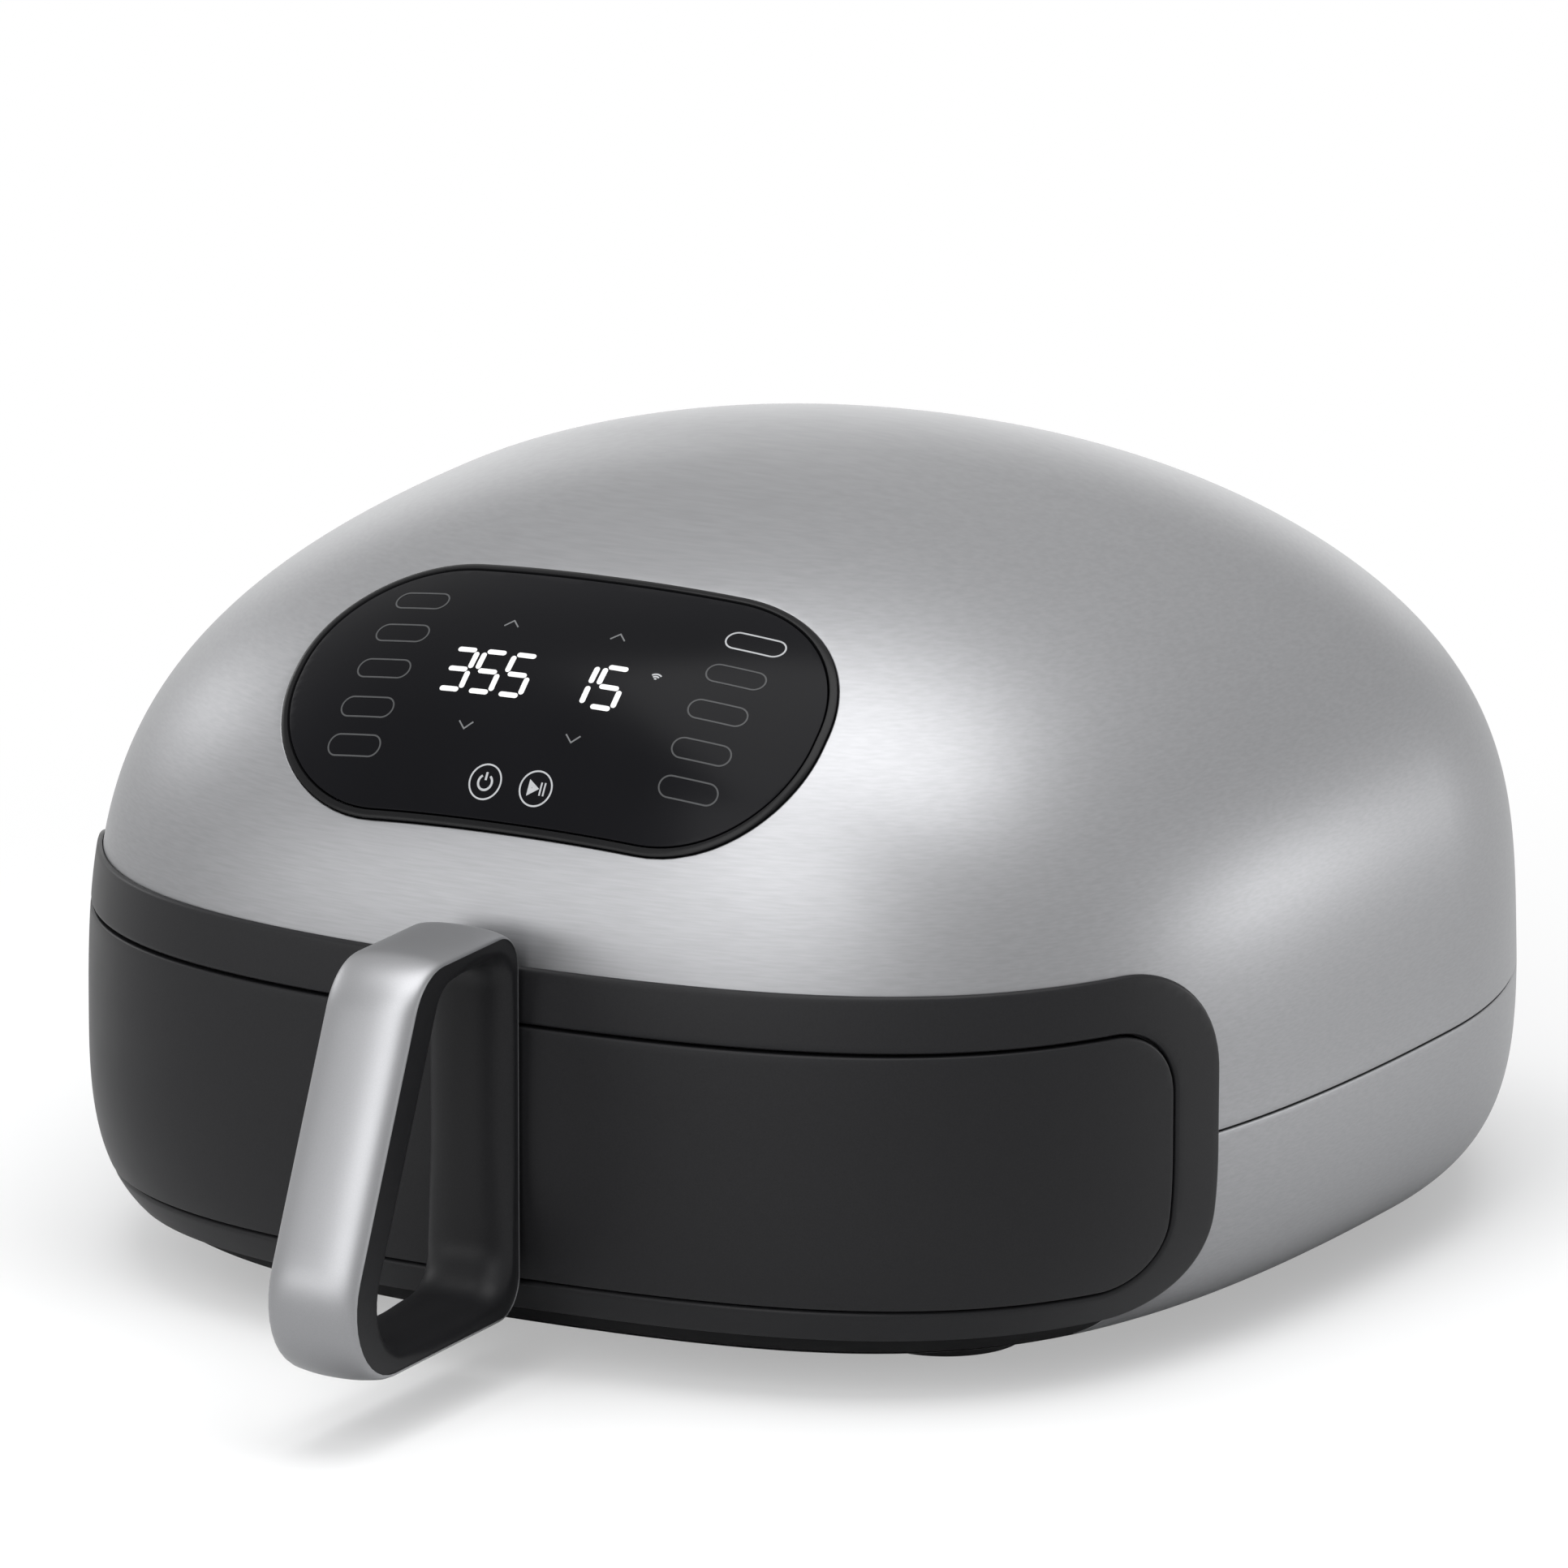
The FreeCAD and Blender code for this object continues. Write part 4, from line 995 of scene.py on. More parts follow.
FAN_METAL = Finish("pressed_fan_sheet", Slot.FAN, (0.55, 0.55, 0.55), 0.38, metallic=1.0, mottle=0.06,
                   haze=0.06, stretch=(6, 1, 1))
BOARD = Finish("solder_mask_green", Slot.BOARD, (0.02, 0.12, 0.05), 0.4, mottle=0.3, mottle_size=3)
SWITCH = Finish("switch_body_black", Slot.SWITCH, (0.04, 0.04, 0.042), 0.5)
DIGIT_LIGHT = LitInk("lit_digits", 1.2, colour=(1.0, 1.0, 1.0))
MARK_LIGHT = LitInk("lit_marks", 0.62)
DIM_LIGHT = LitInk("dim_marks", 0.22)
FAINT_INK = LitInk("faint_key_ink", 0.075)

NODE_FINISHES: dict[Slot, Finish] = {finish.slot: finish for finish in (
    SILVER, TRIM_BLACK, BASE_BLACK, BAND_SILVER, PANEL_BLACK, BEZEL_BLACK, RUBBER, STEEL, COAT, HEATER,
    FAN_METAL, BOARD, SWITCH)}


class Wardrobe:
    """Hands out one material for each finish."""

    def __init__(self) -> None:
        """Start with no materials made."""
        self.made: dict[str, bpy.types.Material] = {}

    def material(self, finish: Finish | LitInk) -> bpy.types.Material:
        """Find the material of a finish, made on first use.

        Args:
            finish: The finish.

        Returns:
            Its material.
        """
        if finish.name not in self.made:
            self.made[finish.name] = finish.material()
        return self.made[finish.name]

    def dress(self, piece: Piece, finish: Finish | LitInk, body: Body, *nodes: str) -> None:
        """Give a finished piece its material and its body, and hide the CAD nodes that it stands for.

        Args:
            piece: The finished object.
            finish: Its surface finish.
            body: The body that it moves with.
            nodes: CAD nodes that the piece replaces.
        """
        piece.data.materials.clear()
        piece.data.materials.append(self.material(finish))
        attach(piece, body.value)
        if nodes:
            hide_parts(*nodes)
        log.info("%s on %s", piece.name, body.value)

    def dress_nodes(self) -> None:
        """Give every CAD node the finish of its record slot."""
        for part in frame["record"]["subparts"]:
            mesh = frame["nodes"][part["node"]].data
            mesh.materials.clear()
            mesh.materials.append(self.material(NODE_FINISHES[Slot(part["material_slot"])]))


# Geometry nodes


class NodeTool(NodeSheet):
    """A geometry-node group with named inputs that leaves a piece as a plain mesh."""

    def __init__(self, name: str, inputs: dict[str, str]) -> None:
        """Start a group with a geometry input and output.

        Args:
            name: Name of the group.
            inputs: Further inputs as labels and socket types.
        """
        super().__init__(bpy.data.node_groups.new(name, "GeometryNodeTree"))
        face = self.tree.interface
        face.new_socket("Geometry", in_out="INPUT", socket_type="NodeSocketGeometry")
        self.keys = {label: face.new_socket(label, in_out="INPUT", socket_type=kind).identifier
                     for label, kind in inputs.items()}
        face.new_socket("Geometry", in_out="OUTPUT", socket_type="NodeSocketGeometry")
        self.given = self.node("NodeGroupInput", {})

    def close(self, geometry: Socket) -> "NodeTool":
        """End the group: make instances real and set the material.

        Args:
            geometry: What the group has made.

        Returns:
            The group itself.
        """
        real = self.node("GeometryNodeRealizeInstances", {"Geometry": geometry})["Geometry"]
        dressed = self.node("GeometryNodeSetMaterial", {"Geometry": real, "Material": self.given["Finish"]})
        self.node("NodeGroupOutput", {"Geometry": dressed["Geometry"]})
        return self

    def apply(self, piece: Piece, **values: object) -> None:
        """Run the group on a piece and keep the result as its mesh.

        Args:
            piece: The piece.
            values: What goes into the group's inputs, by their labels.
        """
        modifier = piece.modifiers.new(self.tree.name, "NODES")
        modifier.node_group = self.tree
        for label, setting in values.items():
            modifier[self.keys[label]] = setting
        piece.update_tag()
        ready = piece.evaluated_get(bpy.context.evaluated_depsgraph_get())
        mesh = bpy.data.meshes.new_from_object(ready)
        piece.modifiers.remove(modifier)
        piece.data = mesh


def scatter_tool() -> NodeTool:
    """Make the group that puts copies on points.

    Returns:
        A group that puts a copy of a template on every point of a piece.
    """
    tool = NodeTool("scatter", {"Template": "NodeSocketObject", "Finish": "NodeSocketMaterial"})
    template = tool.node("GeometryNodeObjectInfo", {"Object": tool.given["Template"]})
    copies = tool.node("GeometryNodeInstanceOnPoints",
                       {"Points": tool.given["Geometry"], "Instance": template["Geometry"]})
    return tool.close(copies["Instances"])


def drape_tool(reach: float = 0.06) -> NodeTool:
    """Make the group that lays a flat piece over a curved one.

    Args:
        reach: Height in metres from which the piece is dropped.

    Returns:
        A group that drops a piece on a target against a direction.
    """
    tool = NodeTool("drape", {"Target": "NodeSocketObject", "Direction": "NodeSocketVector",
                              "Centre": "NodeSocketVector", "Finish": "NodeSocketMaterial"})
    math_node = "ShaderNodeVectorMath"
    out = tool.given["Direction"]
    target = tool.node("GeometryNodeObjectInfo", {"Object": tool.given["Target"]})
    place = tool.node("GeometryNodeInputPosition", {})["Position"]
    offset = tool.node(math_node, {0: place, 1: tool.given["Centre"]}, operation="SUBTRACT")["Vector"]
    height = tool.node(math_node, {0: offset, 1: out}, operation="DOT_PRODUCT")["Value"]
    rise = tool.node(math_node, {0: out, "Scale": height}, operation="SCALE")["Vector"]
    flat = tool.node(math_node, {0: place, 1: rise}, operation="SUBTRACT")["Vector"]
    above = tool.node(math_node, {0: out, "Scale": reach}, operation="SCALE")["Vector"]
    start = tool.node(math_node, {0: flat, 1: above}, operation="ADD")["Vector"]
    down = tool.node(math_node, {0: out, "Scale": -1.0}, operation="SCALE")["Vector"]
    hit = tool.node("GeometryNodeRaycast", {"Target Geometry": target["Geometry"], "Source Position": start,
                                            "Ray Direction": down, "Ray Length": 3 * reach})
    lift = tool.node(math_node, {0: hit["Hit Normal"], "Scale": height}, operation="SCALE")["Vector"]
    laid = tool.node(math_node, {0: hit["Hit Position"], 1: lift}, operation="ADD")["Vector"]
    moved = tool.node("GeometryNodeSetPosition", {"Geometry": tool.given["Geometry"], "Position": laid})
    return tool.close(moved["Geometry"])


# Sub-assemblies


@dataclass
class Workshop:
    """What the sub-assemblies share: the materials, the node groups and the form's caster."""

    wardrobe: Wardrobe
    scatter: NodeTool
    drape: NodeTool
    caster: FormCaster

    def copies(self, name: str, template: Piece, places: Sequence[Triple],
               finish: Finish | LitInk) -> Piece:
        """Put a copy of a template on each place.

        Args:
            name: Name of the piece.
            template: What is copied.
            places: Places in millimetres.
            finish: Finish of the copies.

        Returns:
            All copies as one object.
        """
        piece = add_mesh(name, np.array(places), [])
        self.scatter.apply(piece, Template=template, Finish=self.wardrobe.material(finish))
        return piece


@dataclass
class Housing:
    """The silver shells, the front surround with its recess, the feet and the base screws."""

    shop: Workshop
    proud: float = 1.5
    tuck: float = 3.0
    shell_edge: float = 0.5
    surround_edge: float = 1.2
    face_lift: float = 0.1
    drawer_gap: float = 0.8
    recess_wall: float = 2.4
    recess_setback: float = 1.0
    recess_clearance: float = 0.3
    least_cheek: float = 0.5
    mouth_half: float = 161.0
    mouth_bottom: float = 29.0
    mouth_top: float = 100.5
    foot_radius: float = 23.0
    foot_profile: tuple[Pair, ...] = ((0.86, 0.0), (0.93, 0.2), (0.975, 0.8), (1.0, 1.8),
                                      (1.0, FORM.base_height + 0.6))
    foot_steps: int = 64
    feet: tuple[tuple[str, float, float], ...] = (("front", 93.0, 95.0), ("rear", 72.0, 282.0))
    screw_across: float = 100.0
    screw_setbacks: Pair = (130.0, 285.0)
    screw_profile: tuple[Pair, ...] = ((0.2, 0.9), (1.3, 0.8), (1.4, 0.05), (2.6, -0.25), (3.3, -0.1),
                                       (3.6, 0.3))
    screw_steps: int = 24
    dome_grid: Grid = Grid((0, 4, 288), (0, 1, 116), closed=True)
    lower_grid: Grid = Grid((0, 4, 288), (-0.8, 0, 48), closed=True)
    face_grid: Grid = Grid((-0.75, 0.75, 241), (-0.85, 0.5, 130))
    skirt_grid: Grid = Grid((-0.75, 0.75, 241), (-0.85, -0.3, 80))

    def build(self) -> None:
        """Build and dress every piece of the housing."""
        self.build_shells()
        self.build_surround()
        self.build_recess()
        self.build_feet()
        self.build_screws()

    def dress(self, piece: Piece, finish: Finish, *nodes: str) -> None:
        """Dress a piece that stays with the housing."""
        self.shop.wardrobe.dress(piece, finish, Body.HOUSING, *nodes)

    def build_shells(self) -> None:
        """Build the dome and the lower shell, both with an edge under the surround's face."""
        behind, half_seam = (SURROUND, -self.tuck), FORM.seam / 2
        dome = area(self.shell_edge, low=FORM.parting_height + half_seam,
                    outside=[behind, (PANEL, half_seam), (VENT, FORM.seam)])
        lower = area(self.shell_edge, low=FORM.base_top + half_seam, high=FORM.parting_height - half_seam,
                     outside=[behind, (SKIRT, FORM.seam), (GLAND, half_seam)])
        for name, grid, keep in (("dome", self.dome_grid, dome), ("lower", self.lower_grid, lower)):
            shell = Cutter(grid, 0.0, keep).skin(f"{name}_skin", FORM.wall, self.shell_edge)
            self.dress(shell, SILVER, f"{name}_shell")

    def build_surround(self) -> None:
        """Build the black surround's proud face, and the flush skirt that goes up under it, whose black is
        painted darker and duller than the trim's as painted shade under the surround.
        """
        ring = area(self.surround_edge, inside=[(SURROUND, 0.0)], outside=[(DRAWER, self.drawer_gap)])
        face = Cutter(self.face_grid, self.proud, ring).skin(
            "surround_face", self.proud - self.face_lift, self.surround_edge)
        self.dress(face, TRIM_BLACK, "front_surround")
        below = area(self.shell_edge, inside=[(SKIRT, 0.0)], high=SURROUND.bottom + self.tuck)
        skirt = Cutter(self.skirt_grid, 0.0, below).skin("surround_skirt", FORM.wall, self.shell_edge)
        # Painted shade: the skirt takes a darker, duller black than the surround's trim.
        self.dress(skirt, SKIRT_BLACK_PAINTED_SHADE)

    def recess_side(self, grow: float, line_steps: int = 39, arc_steps: int = 12) -> Array:
        """Sample the recess in the side view.

        Args:
            grow: Distance by which the drawer's outline is grown.
            line_steps: Points on each straight run.
            arc_steps: Steps on each corner.

        Returns:
            Points from the upper front edge round to the lower one.
        """
        rear = DRAWER.rear + grow
        runs = []
        for radius, level, sign in ((DRAWER.top_radius + grow, DRAWER.top + grow, 1),
                                    (DRAWER.bottom_radius + grow, DRAWER.bottom - grow, -1)):
            front = self.shop.caster.front_at(level) + self.recess_setback
            turns = np.linspace(0, math.pi / 2, arc_steps + 1)
            arc = np.stack([rear - radius + radius * np.sin(turns),
                            level - sign * radius * (1 - np.cos(turns))], -1)
            line = np.stack([np.linspace(front, rear - radius, line_steps, endpoint=False),
                             np.full(line_steps, level)], -1)
            runs.append(np.concatenate([line, arc]))
        return np.concatenate([runs[0], runs[1][::-1]])

    def build_recess(self) -> None:
        """Build the ceiling, floor and cheeks of the recess, open where the pan passes."""
        inner = self.recess_side(self.drawer_gap)
        outer = self.recess_side(self.drawer_gap + self.recess_wall)
        reach = self.shop.caster.half_widths(inner) - self.recess_clearance
        open_rows = (inner[:, 1] < self.mouth_top) & (inner[:, 1] > self.mouth_bottom)
        ceiling = np.flatnonzero(inner[:, 1] >= self.mouth_top)
        floor = np.flatnonzero(inner[:, 1] <= self.mouth_bottom)
        cheek = np.flatnonzero(open_rows & (reach > self.mouth_half + self.least_cheek))
        walls = [("recess_ceiling", ceiling, -reach, reach), ("recess_floor", floor, -reach, reach),
                 ("recess_cheek_left", cheek, -reach, np.full_like(reach, -self.mouth_half)),
                 ("recess_cheek_right", cheek, np.full_like(reach, self.mouth_half), reach)]
        for name, rows, left, right in walls:
            rings = [np.array([(left[i], *inner[i]), (right[i], *inner[i]),
                               (right[i], *outer[i]), (left[i], *outer[i])]) for i in rows]
            self.dress(loft(name, rings), TRIM_BLACK)

    def build_feet(self) -> None:
        """Build the four round feet with soft lower edges."""
        for end, across, setback in self.feet:
            for side, sign in (("left", -1), ("right", 1)):
                middle = (sign * across, FORM.front + setback, 0)
                rings = [turned_ring(share * self.foot_radius, z, self.foot_steps) + middle
                         for share, z in self.foot_profile]
                self.dress(loft(f"foot_{end}_{side}_pad", rings), RUBBER, f"foot_{end}_{side}")

    def build_screws(self) -> None:
        """Sink the screws that hold the base to its pillars."""
        rings = [turned_ring(radius, z, self.screw_steps) for radius, z in self.screw_profile]
        template = loft("screw_template", rings)
        places = [(side * self.screw_across, FORM.front + setback, FORM.base_height)
                  for side in (-1, 1) for setback in self.screw_setbacks]
        screws = self.shop.copies("base_screws", template, places, STEEL)
        bpy.data.objects.remove(template)
        self.dress(screws, STEEL)


@dataclass(frozen=True)
class Stroke:
    """A line of even width on the touch panel, in the panel's own plane."""

    points: tuple[Pair, ...]
    half_width: float
    closed: bool = False
    round_ends: bool = False
    cap_angles: Triple = (15.0, 40.0, 65.0)

    def rings(self, height: float, step: float = 1.2) -> list[Array]:
        """Work out the stroke's cross-sections.

        Args:
            height: Thickness above the panel.
            step: Longest piece of the line between two sections.

        Returns:
            Rings of four points as across, up and height.
        """
        corners = np.array(self.points + self.points[:1] if self.closed else self.points, float)
        runs = []
        for start, end in zip(corners, corners[1:]):
            count = max(1, math.ceil(float(np.linalg.norm(end - start)) / step))
            runs.append(start + np.linspace(0, 1, count, endpoint=False)[:, None] * (end - start))
        line = np.concatenate(runs if self.closed else runs + [corners[-1:]])
        before = np.roll(line, 1, 0) if self.closed else np.vstack([2 * line[0] - line[1], line[:-1]])
        after = np.roll(line, -1, 0) if self.closed else np.vstack([line[1:], 2 * line[-1] - line[-2]])
        one = (line - before) / np.linalg.norm(line - before, axis=1, keepdims=True)
        two = (after - line) / np.linalg.norm(after - line, axis=1, keepdims=True)
        normal = np.stack([-(one + two)[:, 1], (one + two)[:, 0]], -1)
        side = normal / np.sum(normal * np.stack([-one[:, 1], one[:, 0]], -1), axis=1, keepdims=True)
        width = np.full(len(line), self.half_width)
        if self.round_ends:
            turns = np.radians(self.cap_angles)
            caps = self.half_width * np.cos(turns)[:, None]
            line = np.vstack([line[0] - caps * one[0], line, line[-1] + caps[::-1] * two[-1]])
            side = np.vstack([side[:1].repeat(len(turns), 0), side, side[-1:].repeat(len(turns), 0)])
            ends = self.half_width * np.sin(turns)
            width = np.concatenate([ends, width, ends[::-1]])
        left, right = line + side * width[:, None], line - side * width[:, None]
        return [np.array([(*a, 0.0), (*b, 0.0), (*b, height), (*a, height)]) for a, b in zip(left, right)]


def arc_points(centre: Pair, radius: float, start: float, end: float, steps: int) -> tuple[Pair, ...]:
    """Sample an arc between two angles in degrees."""
    angles = np.radians(np.linspace(start, end, steps))
    return tuple((centre[0] + radius * math.cos(a), centre[1] + radius * math.sin(a)) for a in angles)


@dataclass
class TouchPanel:
    """The curved black glass with its bezel and lit marks."""

    shop: Workshop
    bezel_width: float = 2.2
    bezel_proud: float = 0.8
    bezel_depth: float = 4.0
    bezel_round: float = 0.6
    glass_gap: float = 0.2
    glass_proud: float = 0.3
    glass_thickness: float = 2.0
    glass_edge: float = 0.3
    glass_grid: Grid = Grid((-0.66, 0.66, 181), (0.22, 0.92, 100))
    mark_height: float = 0.12
    thin: float = 0.22
    thick: float = 0.3
    key_across: float = 52.0
    key_heights: tuple[float, ...] = (26.5, 13.7, 0.8, -12.0, -23.7)
    key_half: Pair = (8.5, 3.1)
    digit_size: Pair = (7.0, 13.6)
    digit_level: float = 2.3
    digit_stroke: float = 0.8
    digit_gap: float = 1.35
    digits: tuple[tuple[str, float], ...] = (("3", -28.4), ("5", -19.0), ("5", -9.6), ("1", 9.4), ("5", 18.9))
    arrows: tuple[Triple, ...] = ((-19.2, 21.2, 1), (14.0, 21.2, 1), (-19.0, -16.4, -1), (14.4, -16.4, -1))
    arrow_size: Pair = (2.2, 2.25)
    arrow_stroke: float = 0.2
    sign_level: float = -30.6
    power_across: float = -7.5
    start_across: float = 8.2
    ring_radius: float = 4.8
    waves_at: Pair = (30.6, 7.2)
    wave_radii: Triple = (0.5, 1.3, 2.1)

    def build(self) -> None:
        """Build and dress the bezel, the glass and its marks."""
        self.build_bezel()
        glass = self.build_glass()
        for name, strokes, ink in (("digit_lights", self.digit_strokes(), DIGIT_LIGHT),
                                   ("sign_lights", self.sign_strokes(), MARK_LIGHT),
                                   ("arrow_lights", self.arrow_strokes(), DIM_LIGHT)):
            self.lay_on_glass(self.flat_mesh(name, strokes), ink, glass)
        self.build_keys(glass)

    def build_bezel(self) -> None:
        """Build the ring round the glass by sweeping its section along the panel's outline."""
        low, high, turn = self.bezel_proud - self.bezel_depth, self.bezel_proud, self.bezel_round
        side = [(0.0, low), (0.0, high - turn), (turn / 4, high - turn / 4), (turn, high)]
        section = side + [(self.bezel_width - inset, grow) for inset, grow in reversed(side)]
        rings = []
        for inset, grow in section:
            points, normals = self.shop.caster.drop(PANEL.place(PANEL.loop(-inset)), PANEL.normal)
            rings.append(points + normals * grow)
        ring = loft("bezel_ring", rings, closed=True)
        self.shop.wardrobe.dress(ring, BEZEL_BLACK, Body.HOUSING, "panel_bezel")

    def build_glass(self) -> Piece:
        """Build the curved glass inside the bezel.

        Returns:
            The glass, on which the marks are laid.
        """
        inside = area(self.glass_edge, inside=[(PANEL, -self.bezel_width - self.glass_gap)])
        glass = Cutter(self.glass_grid, self.glass_proud, inside).skin(
            "panel_glass", self.glass_thickness, self.glass_edge)
        self.shop.wardrobe.dress(glass, PANEL_BLACK, Body.HOUSING, "control_glass")
        return glass

    def digit_strokes(self) -> list[Stroke]:
        """Draw the temperature and time in seven-segment digits.

        Returns:
            One stroke per lit segment.
        """
        width, height = self.digit_size
        left, right, low, middle, high = -width / 2, width / 2, -height / 2, 0.0, height / 2
        segments = {"a": ((left, high), (right, high)), "b": ((right, high), (right, middle)),
                    "c": ((right, middle), (right, low)), "d": ((left, low), (right, low)),
                    "f": ((left, middle), (left, high)), "g": ((left, middle), (right, middle))}
        shapes = {"1": "bc", "3": "abcdg", "5": "afgcd"}
        strokes = []
        for digit, across in self.digits:
            for name in shapes[digit]:
                start, end = (np.array(corner) for corner in segments[name])
                pull = (end - start) / np.linalg.norm(end - start) * self.digit_gap
                line = tuple((across + x, self.digit_level + y) for x, y in (start + pull, end - pull))
                strokes.append(Stroke(line, self.digit_stroke, round_ends=True))
        return strokes

    def arrow_strokes(self) -> list[Stroke]:
        """Draw the arrows above and below the digits.

        Returns:
            One bent stroke per arrow.
        """
        half, rise = self.arrow_size
        strokes = []
        for across, tip, way in self.arrows:
            foot = tip - way * rise
            line = ((across - half, foot), (across, tip), (across + half, foot))
            strokes.append(Stroke(line, self.arrow_stroke))
        return strokes

    def sign_strokes(self) -> list[Stroke]:
        """Draw the power and start signs in their rings, and the wireless sign.

        Returns:
            The strokes of all three signs.
        """
        level, power, start = self.sign_level, self.power_across, self.start_across
        strokes = []
        for across in (power, start):
            ring = arc_points((across, level), self.ring_radius, start=0, end=351, steps=40)
            strokes.append(Stroke(ring, self.thin, closed=True))
        arc_radius, arc_drop, bar_low, bar_high = 2.1, 0.2, 0.4, 2.6
        arc = arc_points((power, level - arc_drop), arc_radius, start=125, end=415, steps=26)
        strokes.append(Stroke(arc, self.thick))
        strokes.append(Stroke(((power, level + bar_low), (power, level + bar_high)), self.thick))
        wedge_shift, wedge_back, wedge_half, wedge_shares = -1.2, 0.8, 1.7, (1.0, 0.45)
        tip = start + wedge_shift
        for share in wedge_shares:
            back, half = tip - wedge_back * share, wedge_half * share
            wedge = ((back, level - half), (tip + half, level), (back, level + half))
            strokes.append(Stroke(wedge, self.thick, closed=True))
        pause_half, pause_bars = 1.8, (1.5, 2.6)
        for x in pause_bars:
            bar = ((start + x, level - pause_half), (start + x, level + pause_half))
            strokes.append(Stroke(bar, self.thin))
        for radius in self.wave_radii:
            strokes.append(Stroke(arc_points(self.waves_at, radius, start=48, end=132, steps=10), self.thin))
        return strokes

    def flat_mesh(self, name: str, strokes: Sequence[Stroke]) -> Piece:
        """Build strokes as one flat mesh about the panel's centre.

        Args:
            name: Name of the piece.
            strokes: The strokes.

        Returns:
            The flat piece.
        """
        points, faces = [], []
        for stroke in strokes:
            rings = stroke.rings(self.mark_height)
            total = sum(map(len, points))
            faces += [tuple(corner + total for corner in face) for face in loft_faces(rings, stroke.closed)]
            points += rings
        return add_mesh(name, np.concatenate(points), faces)

    def lay_on_glass(self, marks: Piece, ink: LitInk, glass: Piece) -> None:
        """Turn a flat piece into the panel's plane and drape it over the glass.

        Args:
            marks: The flat piece.
            ink: Its light.
            glass: The curved glass.
        """
        wardrobe = self.shop.wardrobe
        marks.data.transform(PANEL.matrix())
        self.shop.drape.apply(marks, Target=glass, Direction=tuple(PANEL.normal),
                              Centre=tuple(np.array(PANEL.centre) * MM), Finish=wardrobe.material(ink))
        wardrobe.dress(marks, ink, Body.HOUSING)

    def build_keys(self, glass: Piece) -> None:
        """Draw the outlines of the touch keys, of which one is lit.

        Args:
            glass: The glass that they are laid on.
        """
        loop = rectangle_loop(self.key_half, self.key_half[1], line_steps=6, arc_steps=10)
        loop = loop[np.linalg.norm(loop - np.roll(loop, 1, 0), axis=1) > TINY]
        outline = Stroke(tuple(map(tuple, loop.tolist())), self.thin, closed=True)
        template = self.flat_mesh("key_template", [outline])
        places = [(side * self.key_across, height, 0.0) for side in (-1, 1) for height in self.key_heights]
        lit = places.pop(len(self.key_heights))
        for name, spots, ink in (("key_outlines", places, FAINT_INK), ("lit_key", [lit], MARK_LIGHT)):
            self.lay_on_glass(self.shop.copies(name, template, spots, ink), ink, glass)
        bpy.data.objects.remove(template)


